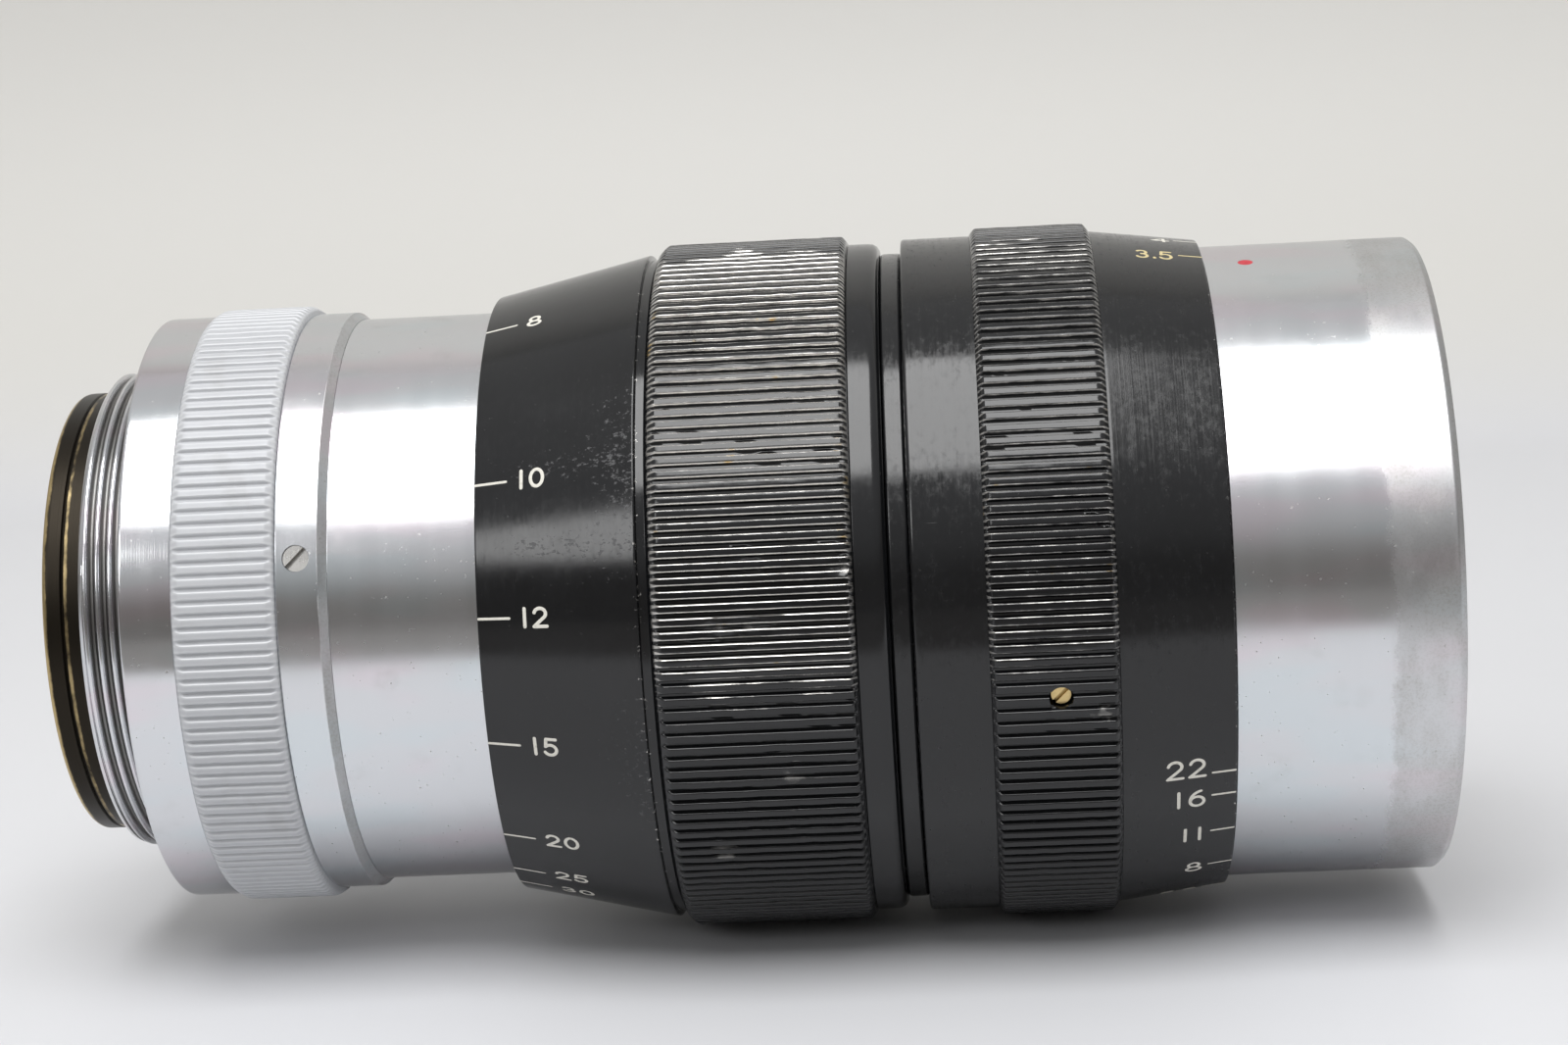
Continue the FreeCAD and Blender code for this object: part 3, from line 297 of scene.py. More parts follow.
def drill(piece, x, thetas, hole_r, low_r, high_r, sides=40):
    """Round radial holes cut into a piece. Each bit is a closed rod: a circle across the radial
    line at angle theta, carried from the low radius to the high one."""
    for theta in thetas:
        turn = np.arange(sides) * 2 * np.pi / sides
        height = np.array((low_r, high_r))[:, None]
        across = hole_r * np.cos(turn)[None, :] + 0 * height
        along = x + hole_r * np.sin(turn)[None, :] + 0 * height
        angle = math.radians(theta)
        y = -height * math.sin(angle) - across * math.cos(angle)
        z = height * math.cos(angle) - across * math.sin(angle)
        points = np.stack((along, y, z), axis=-1)
        lids = [list(range(sides)), list(range(2 * sides - 1, sides - 1, -1))]
        mesh = bpy.data.meshes.new("drill")
        mesh.from_pydata(points.reshape(-1, 3) * MM, [],
                         grid_faces(2, sides, False, True).tolist() + lids)
        mend_shell(mesh, face_outwards)
        bit = put_in_scene(mesh, "drill")
        cut = piece.modifiers.new("hole", "BOOLEAN")
        cut.operation, cut.solver, cut.object = "DIFFERENCE", "EXACT", bit
        bpy.context.view_layer.update()
        cut_piece = piece.evaluated_get(bpy.context.evaluated_depsgraph_get())
        drilled = bpy.data.meshes.new_from_object(cut_piece)
        piece.modifiers.remove(cut)
        piece.data = drilled
        bpy.data.objects.remove(bit)
    piece.data.set_sharp_from_angle(angle=math.radians(55))


# ---- shader sums ----------------------------------------------------------------------------------
class Term:
    """A socket of a finish. Sums on it, either way round, add Math nodes."""

    def __init__(self, finish, socket):
        self.finish, self.socket = finish, socket

    def sum(self, operation, first, second):
        return self.finish.node("Math", {"operation": operation}, {0: first, 1: second})

    def __add__(self, other):
        return self.sum("ADD", self, other)

    def __sub__(self, other):
        return self.sum("SUBTRACT", self, other)

    def __rsub__(self, other):
        return self.sum("SUBTRACT", other, self)

    def __mul__(self, other):
        return self.sum("MULTIPLY", self, other)

    __radd__, __rmul__ = __add__, __mul__


class Finish:
    """A material in the making. node() adds any node and gives back one of its outputs."""

    def __init__(self, name, tree=None):
        if tree is None:
            self.material = bpy.data.materials.new(name)
            self.material.use_nodes = True
            tree = self.material.node_tree
        self.tree = tree
        self.tree.nodes.clear()

    def node(self, kind, settings=None, sockets=None, out=0):
        made = self.tree.nodes.new("ShaderNode" + kind)
        for key, value in (settings or {}).items():
            if key == "stops":
                for index, (place, colour) in enumerate(value):
                    stop = (made.color_ramp.elements[index] if index < 2
                            else made.color_ramp.elements.new(place))
                    stop.position, stop.color = place, (*colour, 1.0)
            else:
                setattr(made, key, value)
        for key, value in (sockets or {}).items():
            if isinstance(value, Term):
                self.tree.links.new(value.socket, made.inputs[key])
            elif made.inputs[key].type == "RGBA":
                made.inputs[key].default_value = (*value, 1.0)
            else:
                made.inputs[key].default_value = value
        return Term(self, made.outputs[out]) if made.outputs else None

    def place(self):
        return self.node("TexCoord", out="Object")

    def along(self):
        """Distance along the axis."""
        return self.node("SeparateXYZ", sockets={0: self.place()}) * (1 / MM)

    def noise(self, sizes, detail=2.0, rough=0.5):
        """Noise from 0 to 1 with cells of the given sizes along x, y and z."""
        scale = tuple(1 / (MM * size) for size in sizes)
        place = self.node("Mapping", sockets={"Vector": self.place(), "Scale": scale})
        return self.node("TexNoise", sockets={"Vector": place, "Scale": 1.0, "Detail": detail,
                                              "Roughness": rough})

    def above(self, value, low, high):
        """0 below low, 1 above high, eased between."""
        return self.node("MapRange", {"interpolation_type": "SMOOTHSTEP"},
                         {"Value": value, "From Min": low, "From Max": high})

    def off(self, value, place):
        """Distance of a value from a place, either way."""
        return self.node("Math", {"operation": "ABSOLUTE"}, {0: value - place})

    def mark(self, name):
        return self.node("Attribute", {"attribute_name": name}, out="Fac")

    def blend(self, factor, first, second):
        return self.node("Mix", {"data_type": "RGBA", "clamp_factor": True},
                         {0: factor, 6: first, 7: second}, 2)

    def bump(self, height, distance, strength):
        return self.node("Bump", sockets={"Height": height, "Distance": distance * MM,
                                          "Strength": strength})

    def surface(self, sockets):
        shader = self.node("BsdfPrincipled", sockets=sockets)
        self.node("OutputMaterial", sockets={"Surface": shader})
        return self.material


BRASS_COLOUR, WORN_COLOUR = (0.62, 0.45, 0.2), (0.62, 0.6, 0.57)


def satin_chrome(name, rough=0.2, frost_from=None, frost_rise=0.2, ragged=2.4, threaded=False):
    """Turned, satin chrome: fine rings, soft clouds of pink and cyan that paint an iridescent sheen
    into its colour, pits and stains. frost_from is where a rubbed, frosted band begins, ragged is how
    far its edge wanders, and frost_rise is how much rougher it is. A threaded piece holds grease where
    its sunk mark is high."""
    tone = 0.69
    f = Finish(name)
    rings = f.noise((0.09, 40, 40), 3, 0.6)
    broad = f.noise((1.6, 60, 60), 2)
    cloud = f.noise((9, 7, 7), 2)
    tint = f.noise((16, 5, 5), 2)
    pits = f.above(f.noise((0.3, 0.3, 0.3), 1), 0.72, 0.8)
    stain = f.above(f.noise((4, 4, 4), 4, 0.6), 0.56, 0.8)
    silver = (tone * 0.975, tone * 0.99, tone * 1.02)
    # Painted iridescent sheen: pink and cyan clouds in the base colour stand in for the rainbow colours
    # that turning lines give a highlight.
    colour = f.blend(f.above(tint, 0.5, 0.66), silver, (tone * 1.02, tone * 0.96, tone * 1.01))
    colour = f.blend(f.above(tint, 0.34, 0.46), (tone * 0.945, tone * 1.0, tone * 1.035), colour)
    colour = f.blend(stain * 0.15 + pits * 0.45, colour, (tone * 0.5, tone * 0.48, tone * 0.44))
    roughness = rough + (cloud - 0.5) * 0.08 + stain * 0.06 + (broad - 0.5) * 0.06 + pits * 0.2
    height = rings * 0.8 + broad * 0.6 - pits * 0.5
    if frost_from:
        place = f.along() + (f.noise((1.2, 2.0, 2.0), 4, 0.7) - 0.5) * ragged
        frost = f.above(place, frost_from - 0.2 * ragged, frost_from + 0.2 * ragged)
        grit = f.noise((0.2, 0.2, 0.2), 3, 0.7)
        patch = f.above(f.noise((3, 7, 7), 4, 0.6), 0.38, 0.62)
        frost = frost * (0.5 + patch * 0.5)
        colour = f.blend(frost * (0.42 + f.above(grit, 0.45, 0.65) * 0.3), colour, (0.42, 0.41, 0.39))
        roughness = roughness + frost * frost_rise
        height = height + frost * grit * 1.6
    if threaded:
        grease = f.above(f.mark("sunk"), 0.1, 0.42) * 0.85
        colour = f.blend(grease, colour, (0.1, 0.095, 0.085))
        roughness = roughness + grease * 0.25
    return f.surface({"Base Color": colour, "Metallic": 1.0, "Roughness": roughness,
                      "Normal": f.bump(height, 0.006, 0.5)})


def frosted_chrome(name):
    """Chrome over coarse ridges: duller, with edges lightened by the edge mark, which is partly wear
    and partly a painted sheen on the top of the ring, and grime between.
    """
    f = Finish(name)
    edge = f.mark("edge")
    grain = f.noise((0.25, 0.25, 0.25), 3, 0.6)
    cloud = f.noise((3, 5, 5), 3)
    grime = f.above(cloud, 0.55, 0.75) * (1 - edge)
    # Painted sheen and wear: the edges are lighter where the edge mark is high, most on the quarter
    # from the top round to the camera side.
    colour = f.blend(edge, (0.5, 0.51, 0.53), (0.62, 0.63, 0.645))
    colour = f.blend(grime * 0.25, colour, (0.3, 0.29, 0.27))
    return f.surface({"Base Color": colour, "Metallic": 0.25,
                      "Roughness": 0.6 - edge * 0.1 + (grain - 0.5) * 0.12,
                      "Normal": f.bump(grain * 0.6 + cloud, 0.012, 0.5)})


def black_enamel(name, worn_at=None, ridged=False, lines=0.35):
    """Gloss enamel with a soft orange-peel skin, hairline scratches and chips to the metal, and grey
    where the scuff mark is high: scuffs, and on the distance cone a painted highlight band. worn_at is
    the (x, reach) of a rubbed edge, ridged wears the edge and bruise marks of a knurl through to the
    metal (the edge mark also carries a painted sheen on the top of the knurl), and lines is how
    strongly the turning lines show."""
    f = Finish(name)
    peel = f.noise((0.7, 0.7, 0.7), 2)
    dust = f.above(f.noise((0.28, 0.28, 0.28), 2, 0.7), 0.68, 0.8)
    haze = f.noise((6, 6, 6), 4, 0.65)
    scratch = f.above(f.noise((2.4, 0.12, 0.12), 2, 0.5), 0.71, 0.76) * f.above(haze, 0.5, 0.7)
    rings = f.noise((0.16, 30, 30), 3, 0.6)
    chip = f.above(f.noise((0.9, 0.9, 0.9), 5, 0.75), 0.725, 0.745)
    bare = chip * f.above(f.noise((8, 8, 8), 1), 0.52, 0.62)
    broken = f.noise((0.55, 0.4, 0.4), 4, 0.75)
    # Scuffs and a painted highlight: the scuff mark holds rubbed scuffs and, on the distance cone, a
    # band that stands in for a window's reflection.
    scuff_and_highlight = f.above(f.mark("scuff_and_highlight") * 0.62 + (broken - 0.5) * 1.5, 0.42, 0.62)
    if ridged:
        edge, bruise = f.mark("edge"), f.mark("bruise")
        along = f.noise((1.6, 0.3, 0.3), 4, 0.75)
        handled = f.noise((12, 16, 16), 1)
        # Wear and painted sheen: the edge mark bares the ridges to metal, and its angle-set part
        # brightens the top of the knurl as the light from above does.
        worn = f.above(edge * (0.72 + handled * 0.3) + (along - 0.5) * 0.7, 0.42, 0.74)
        hit = f.above(bruise + (along - 0.5) * 0.8, 0.55, 0.9)
        bare = bare * 0.2 + worn + hit * 0.6 * (0.25 + edge)
    if worn_at is not None:
        place, reach = worn_at
        near = 1 - f.above(f.off(f.along(), place), 0.0, reach)
        bare = bare + f.above(near * 0.34 + (broken - 0.5) * 1.3, 0.46, 0.58)
    bare = f.node("Clamp", sockets={"Value": bare})
    metal = f.blend(f.above(f.noise((2, 3, 3), 3), 0.66, 0.76), WORN_COLOUR, BRASS_COLOUR)
    black = f.blend(haze, (0.004, 0.004, 0.0045), (0.008, 0.0085, 0.0095))
    black = f.blend(dust * 0.35 + scratch * 0.4, black, (0.07, 0.07, 0.07))
    # Painted highlight and scuffing: the black turns grey where the scuff mark is high.
    black = f.blend(scuff_and_highlight * 0.5, black, (0.13, 0.13, 0.135))
    mottle = f.above(f.noise((0.5, 0.8, 0.8), 3, 0.7), 0.45, 0.72) + (rings - 0.5) * 1.6
    roughness = 0.13 + (haze - 0.5) * 0.12 + dust * 0.2 + scratch * 0.2 + bare * 0.16 + scuff_and_highlight * 0.3
    roughness = roughness + mottle * (0.14 * lines)
    height = peel * 0.5 + rings * lines - bare * 0.9 - scratch * 0.4 - scuff_and_highlight * 0.5
    return f.surface({"Base Color": f.blend(bare, black, metal), "Metallic": bare,
                      "Roughness": roughness, "Normal": f.bump(height, 0.008, 0.45), "IOR": 1.52})


def dark_brass(name, rim_at):
    """Chemically blackened brass with a rubbed, brassy rim and one rubbed band ahead of it."""
    f = Finish(name)
    rings = f.noise((0.1, 30, 30), 3)
    patch = f.noise((1.5, 3, 3), 4, 0.7)
    edge = 1 - f.above(f.along(), rim_at + 0.1, rim_at + 0.6)
    band = 1 - f.above(f.off(f.along(), rim_at + 1.9), 0.05, 0.3)
    rubbed = f.above(edge * 0.85 + band * 0.5 + (patch - 0.5) * 1.0, 0.3, 0.8)
    colour = f.blend(rubbed, (0.022, 0.018, 0.013), (0.48, 0.37, 0.19))
    return f.surface({"Base Color": colour, "Metallic": 0.9, "Roughness": 0.36 - rubbed * 0.08,
                      "Normal": f.bump(rings + patch * 0.5, 0.01, 0.6)})


def turned_metal(name, colour, rough, dirt=(0.1, 0.08, 0.05), black_bore=False):
    """Plain turned metal: fine rings and a clouded tone with dirt. A black bore is painted matt
    where the surface faces the axis."""
    f = Finish(name)
    rings = f.noise((0.12, 20, 20), 3, 0.6)
    cloud = f.noise((1.8, 2.2, 2.2), 4, 0.6)
    grime = f.above(cloud, 0.5, 0.78)
    shade = f.blend(grime * 0.55, colour, dirt)
    bore = 0.0
    if black_bore:
        spoke = f.node("VectorMath", {"operation": "MULTIPLY"}, {0: f.place(), 1: (0.0, 1.0, 1.0)})
        facing = f.node("TexCoord", out="Normal")
        out = f.node("VectorMath", {"operation": "DOT_PRODUCT"}, {0: spoke, 1: facing}, "Value")
        bore = 1 - f.above(out, -0.004, -0.001)
        shade = f.blend(bore, shade, (0.014, 0.014, 0.015))
    return f.surface({"Base Color": shade, "Metallic": 1 - bore,
                      "Roughness": rough + (cloud - 0.5) * 0.2 + grime * 0.15 + bore * 0.25,
                      "Normal": f.bump(rings + cloud * 0.5, 0.008, 0.6)})


def matt_black(name):
    """Black anodising with a fine grain and a few bright rub marks."""
    f = Finish(name)
    grain = f.noise((0.12, 0.12, 0.12), 3, 0.6)
    rub = f.above(f.noise((1.2, 2, 2), 5, 0.75), 0.7, 0.78)
    colour = f.blend(rub, (0.018, 0.018, 0.02), (0.12, 0.12, 0.12))
    return f.surface({"Base Color": colour, "Metallic": 0.3, "Roughness": 0.5 + (grain - 0.5) * 0.2,
                      "Normal": f.bump(grain, 0.01, 0.5)})


def blade_blue(name):
    """Thin blued steel with faint rub arcs."""
    f = Finish(name)
    rub = f.noise((0.5, 0.35, 2.5), 4, 0.7)
    colour = f.blend(f.above(rub, 0.45, 0.75), (0.045, 0.047, 0.06), (0.13, 0.13, 0.15))
    return f.surface({"Base Color": colour, "Metallic": 0.9, "Roughness": 0.34 + (rub - 0.5) * 0.25,
                      "Normal": f.bump(rub, 0.004, 0.4)})


def coated_glass(name, tint, film):
    """Clear optical glass with one thin coating, and a trace of dust."""
    f = Finish(name)
    dust = f.above(f.noise((0.4, 0.4, 0.4), 2, 0.7), 0.74, 0.8)
    return f.surface({"Base Color": tint, "Roughness": dust * 0.05, "IOR": 1.6,
                      "Transmission Weight": 1.0, "Thin Film Thickness": film, "Thin Film IOR": 1.38})


def paint_fill(name, colour, dark):
    """Paint pressed into an engraved line: matt, a little dirty and uneven."""
    f = Finish(name)
    dirt = f.above(f.noise((0.3, 0.3, 0.3), 3, 0.7), 0.52, 0.8)
    return f.surface({"Base Color": f.blend(dirt * 0.55, colour, dark), "Roughness": 0.55 + dirt * 0.2,
                      "Normal": f.bump(dirt, 0.01, 0.5)})


CHROME = satin_chrome("satin_chrome")
COLLAR_CHROME = satin_chrome("collar_chrome", frost_from=COLLAR_FRONT - 0.62, frost_rise=0.4,
                             ragged=0.25)
FRONT_CHROME = satin_chrome("front_barrel_chrome", frost_from=RIM - 5.3)
FLANGE_CHROME = satin_chrome("flange_chrome", rough=0.14, threaded=True)
GRIP_CHROME = frosted_chrome("knurled_chrome")
CONE_ENAMEL = black_enamel("cone_enamel", (CONE_FRONT, 0.9))
RIDGE_ENAMEL = black_enamel("ridge_enamel", ridged=True)
RING_ENAMEL = black_enamel("ring_enamel", (APERTURE_FRONT, 0.5), lines=1.1)
CAM_BRASS = dark_brass("blackened_brass", CAM_REAR)
BRASS = turned_metal("brass", (0.66, 0.5, 0.24), 0.3)
SLEEVE_BRASS = turned_metal("sleeve_brass", (0.66, 0.5, 0.24), 0.3, black_bore=True)
STEEL = turned_metal("steel", (0.56, 0.55, 0.53), 0.28)
ALUMINIUM = turned_metal("aluminium", (0.66, 0.66, 0.67), 0.3, dirt=(0.3, 0.3, 0.3))
MATT_BLACK = matt_black("matt_black")
BLADE_STEEL = blade_blue("blade_steel")
FRONT_GLASS = coated_glass("front_glass", (0.97, 0.98, 1.0), 118.0)
INNER_GLASS = coated_glass("inner_glass", (0.98, 0.97, 0.95), 96.0)
CREAM = paint_fill("cream_fill", (0.72, 0.7, 0.63), (0.3, 0.28, 0.23))
YELLOW = paint_fill("yellow_fill", (0.62, 0.52, 0.27), (0.25, 0.2, 0.1))
RED = paint_fill("red_fill", (0.5, 0.03, 0.045), (0.2, 0.02, 0.02))
BLACK_FILL = paint_fill("black_fill", (0.012, 0.012, 0.012), (0.06, 0.055, 0.05))


# ---- mount ----------------------------------------------------------------------------------------
def helical_thread(crest_r, depth, pitch, start, end, outward=True):
    """Radius of a one-start thread: the depth times a flattened triangle wave of x over the pitch
    less the turn, which fades out over a run at both ends."""
    run = 0.25

    def relief(x, radius, theta):
        swing = np.abs(((x / pitch - theta / 360) % 1.0) - 0.5) * 2
        groove = 1 - smooth_step(swing, 0.12, 0.88)
        fade = smooth_step(x, start, start + run) * (1 - smooth_step(x, end - run, end))
        near = np.abs(radius - crest_r) < 0.02
        return radius - (depth if outward else -depth) * groove * fade * near
    return relief


def thread_rows(start, end, radius, count):
    """Rows of a plain outline, close enough together for a thread to be cut in them."""
    return [(x, radius, 0) for x in np.linspace(start, end, count)]


# The flange face is at x = 0, with the thread behind it and an undercut between them.
turned_piece("mount_flange_turned",
             [(THREAD_REAR, THREAD_BORE_R), (THREAD_REAR, THREAD_R - 0.32, 0.05)]
             + thread_rows(THREAD_REAR + 0.3, -0.85, THREAD_R, 56)
             + [(-0.7, THREAD_ROOT_R, 0.05), (0.15, THREAD_ROOT_R, 0.03), (0.15, 19.8, 0.03),
                (0, 19.8, 0.05), (0, FLANGE_R, 0.22), (FLANGE_FRONT, FLANGE_R, 0.1),
                (FLANGE_FRONT, NECK_R + SEAT), (BARREL_REAR, NECK_R + SEAT, 0.05),
                (BARREL_REAR, THREAD_BORE_R, 0.05)],
             FLANGE_CHROME, "mount", ["mount_flange"],
             relief=helical_thread(THREAD_R, 0.5, MOUNT_PITCH, THREAD_REAR + 0.2, -0.8))
turned_piece("rear_cam_ring",
             [(CAM_REAR, CAM_BORE_R, 0.12), (CAM_REAR, CAM_R, 0.4), (CAM_REAR + 1.45, CAM_R, 0.04),
              (CAM_REAR + 1.6, CAM_R - 0.2, 0.04), (CAM_REAR + 1.75, CAM_R, 0.04),
              (CAM_FRONT, CAM_R), (CAM_FRONT, CAM_BORE_R)],
             CAM_BRASS, "rangefinder_cam", ["rf_cam_ring"])
knurl_piece("mount_grip_knurl", FLANGE_FRONT + 0.02, GRIP_FRONT - 0.02, GRIP_R, 0.28, 152, (0.7, 0.7),
            NECK_R + SEAT, GRIP_CHROME, "mount", ["mount_grip_ring"], dents=0.03,
            rub=(1.0, 0.8))
collar = turned_piece("mount_collar_turned",
                      [(GRIP_FRONT, NECK_R + SEAT), (GRIP_FRONT, COLLAR_R, 0.12),
                       (GRIP_FRONT + 1.2, COLLAR_R, 0), (COLLAR_FRONT - 0.6, COLLAR_R, 0.08),
                       (COLLAR_FRONT, BARREL_R + SLIDE, 0.05), (COLLAR_FRONT, NECK_R + SEAT)],
                      COLLAR_CHROME, "mount", ["mount_collar"])
drill(collar, GRIP_FRONT + 1.65, SET_SCREWS, 1.03, NECK_R - 0.6, COLLAR_R + 1)
turned_piece("fixed_barrel_turned",
             [(BARREL_REAR, BARREL_BORE_R), (BARREL_REAR, NECK_R), (COLLAR_FRONT, NECK_R, 0.03),
              (COLLAR_FRONT, BARREL_R, 0.05), (COLLAR_FRONT + 4, BARREL_R, 0),
              (COLLAR_FRONT + 8, BARREL_R, 0), (FOCUS_REAR, BARREL_R, 0), (BARREL_FRONT, BARREL_R),
              (BARREL_FRONT, BARREL_BORE_R)],
             CHROME, "mount", ["fixed_barrel"])

# ---- focus ring -----------------------------------------------------------------------------------
# The ring is a shell: its front web holds it on the sleeve, and its bore clears the fixed barrel.
web_rear, web_bore_r, shell_bore_r, bed_r = FOCUS_FRONT - 3.4, 17.3, 24.3, 26.95
# Scuffs on the distance cone, where the enamel turns grey: partly rubbed scuffs, and partly a painted
# highlight, the wide band across the cone at 72.5 degrees.
CONE_SCUFFS_AND_HIGHLIGHT = ((35.0, 72.5, 6.0, 2.6, 1.0), (38.8, 80.0, 0.9, 9.0, 0.9), (30.4, 58.5, 2.2, 4.0, 0.7),
               (39.4, 60.0, 0.6, 30.0, 0.75), (39.3, 110.0, 0.6, 30.0, 0.75))
FOCUS_BRUISES = ((46.9, 87.5, 2.6, 2.2, 0.22), (55.2, 79.0, 0.5, 1.2, 0.3),
                 (44.5, 128.0, 2.0, 3.0, 0.1), (50.5, 111.0, 1.6, 3.5, 0.1))
turned_piece("focus_ring_cone",
             [(FOCUS_REAR, BARREL_R + SLIDE), (FOCUS_REAR, CONE_REAR_R, 0.12),
              (FOCUS_REAR + 4, CONE_REAR_R + 4 * (CONE_FRONT_R - CONE_REAR_R) / CONE_LONG, 0),
              (CONE_FRONT, CONE_FRONT_R, 0.12), (CONE_FRONT + 0.05, 26.6, 0.06),
              (KNURL_REAR, 26.6, 0.1), (KNURL_REAR + 0.5, 27.0, 0.05), (KNURL_REAR + 0.8, bed_r, 0),
              (LAND_REAR + 0.05, bed_r, 0.03), (LAND_REAR + 0.1, LAND_R, 0.12),
              (FOCUS_FRONT, LAND_R, 1.0), (FOCUS_FRONT, web_bore_r), (web_rear, web_bore_r),
              (web_rear, shell_bore_r), (FOCUS_REAR + 3.9, shell_bore_r),
              (FOCUS_REAR + 3.6, BARREL_R + SLIDE)],
             CONE_ENAMEL, "focusing_group", ["focus_ring"], columns=480,
             scuffs_and_highlights=CONE_SCUFFS_AND_HIGHLIGHT)
knurl_piece("focus_ring_knurl", KNURL_REAR + 0.25, LAND_REAR, KNURL_R, 0.4, 172, (0.75, 0.55), 26.9,
            RIDGE_ENAMEL, "focusing_group", dents=0.05, rub=(1.0, 0.42),
            bruises=FOCUS_BRUISES)

# ---- head -----------------------------------------------------------------------------------------
turned_piece("head_collar_turned",
             [(HEAD_REAR + SEAT, 22.02), (HEAD_REAR + SEAT, HEAD_COLLAR_R, 0.3),
              (HEAD_FRONT, HEAD_COLLAR_R, 0.3), (HEAD_FRONT, 22.02)],
             RING_ENAMEL, "focusing_group", ["head_collar"])
aperture_ring = turned_piece(
    "aperture_ring_turned",
    [(APERTURE_REAR, HEAD_R + SLIDE), (APERTURE_REAR, A_LAND_R, 0.3),
     (A_KNURL_REAR + 0.3, A_LAND_R, 0.04), (A_KNURL_REAR + 0.35, 27.0, 0.04),
     (A_KNURL_FRONT - 0.35, 27.0, 0.04), (A_KNURL_FRONT - 0.3, A_CONE_REAR_R + 0.04, 0.05),
     (A_KNURL_FRONT + CONE_GAP, A_CONE_REAR_R, 0.05), (APERTURE_FRONT, A_CONE_FRONT_R, 0.12),
     (APERTURE_FRONT, HEAD_R + SLIDE)],
    RING_ENAMEL, "aperture", ["aperture_ring"], columns=480)
aperture_knurl = knurl_piece("aperture_ring_knurl", A_KNURL_REAR, A_KNURL_FRONT, A_KNURL_R, 0.4, 168,
                             (0.55, 0.55), bed_r, RIDGE_ENAMEL, "aperture",
                             dents=0.035, rub=(0.7, 0.42), bruises=((73.6, 103.0, 1.6, 3.0, 0.08),))
drive_x = (start_of("aperture_drive_screws") + end_of("aperture_drive_screws")) / 2
for ring in (aperture_knurl, aperture_ring):
    drill(ring, drive_x, DRIVE_SCREWS, 0.9, HEAD_R - 1, A_KNURL_R + 0.7)
turned_piece("front_barrel_turned",
             [(FRONT_REAR, HEAD_NOSE_R + SEAT), (FRONT_REAR, FRONT_R, 0.15),
              (FRONT_REAR + 6, FRONT_R, 0), (FRONT_REAR + 12, FRONT_R, 0), (RIM - 0.5, FRONT_R, 0.3),
              (RIM, FRONT_R - 0.4, 0.15), (RIM, FILTER_R + 0.1, 0.1)]
             + thread_rows(RIM - 0.3, RIM - 5.0, FILTER_CREST_R, 76)
             + [(RIM - 5.6, FILTER_CREST_R, 0.1), (CELL_FRONT + 0.6, 21.6, 0.1),
                (CELL_FRONT, 21.6, 0.05), (CELL_FRONT, HEAD_NOSE_R + SEAT, 0.05)],
             FRONT_CHROME, "focusing_group", ["front_barrel"],
             relief=helical_thread(FILTER_CREST_R, 0.4, FILTER_PITCH, RIM - 5.1, RIM - 0.35,
                                   outward=False))


# ---- cells and glass ------------------------------------------------------------------------------
def glass_piece(name, node, rim_r, rear_curve, front_curve, rims, finish):
    """A lens: two spherical caps, each x = rim + R - sqrt(R^2 - h^2) taken from its rim, and the
    cylinder between them. A positive curve has its centre ahead of the face."""
    def cap(rim_x, curve, heights):
        depth = np.sqrt(curve ** 2 - heights ** 2) - math.sqrt(curve ** 2 - rim_r ** 2)
        return rim_x - math.copysign(1, curve) * depth

    share, columns = np.sin(np.linspace(0, np.pi / 2, 28)), 240
    rise, fall = rim_r * share, rim_r * share[::-1]
    x = np.concatenate((cap(rims[0], rear_curve, rise), cap(rims[1], front_curve, fall)))
    radius = np.maximum(np.concatenate((rise, fall)), 1e-9)
    theta = np.arange(columns) * 360 / columns
    points = round_the_axis(x[:, None], radius[:, None], theta[None, :])
    faces = grid_faces(len(x), len(theta), False, True)
    return add_piece(name, points, faces, finish, "focusing_group", [node], weld=True)


def rim_pair(node, rim_r, rear_curve, front_curve):
    """Where the two rims of a glass lie, from its box and how far each face bulges past its rim."""
    def bulge(curve):
        return abs(curve) - math.sqrt(curve ** 2 - rim_r ** 2)

    rear = start_of(node) + (bulge(rear_curve) if rear_curve > 0 else 0)
    front = end_of(node) - (bulge(front_curve) if front_curve < 0 else 0)
    return rear, front


# Each glass: its rim's radius, its rear and front curves in rim radii, and its finish. The cement
# between the two glasses of the doublet keeps their faces apart.
GLASSES = {"front_element": (HEAD_BORE_R - 1.7, -9.7, -2.67, FRONT_GLASS),
           "doublet_front": (17.6, 8.5, -2.386, INNER_GLASS),
           "doublet_rear": (17.6, -1.534, 8.5, INNER_GLASS),
           "rear_element": (14.0, 4.286, -6.43, FRONT_GLASS)}
CEMENT = 0.02
for node, (rim_r, rear, front, finish) in GLASSES.items():
    rear, front = rear * rim_r, front * rim_r
    rims = rim_pair(node, rim_r, rear, front)
    if node == "doublet_front":
        rims = (rims[0] + CEMENT, rims[1])
    glass_piece(node + "_polished", node, rim_r, rear, front, rims, finish)

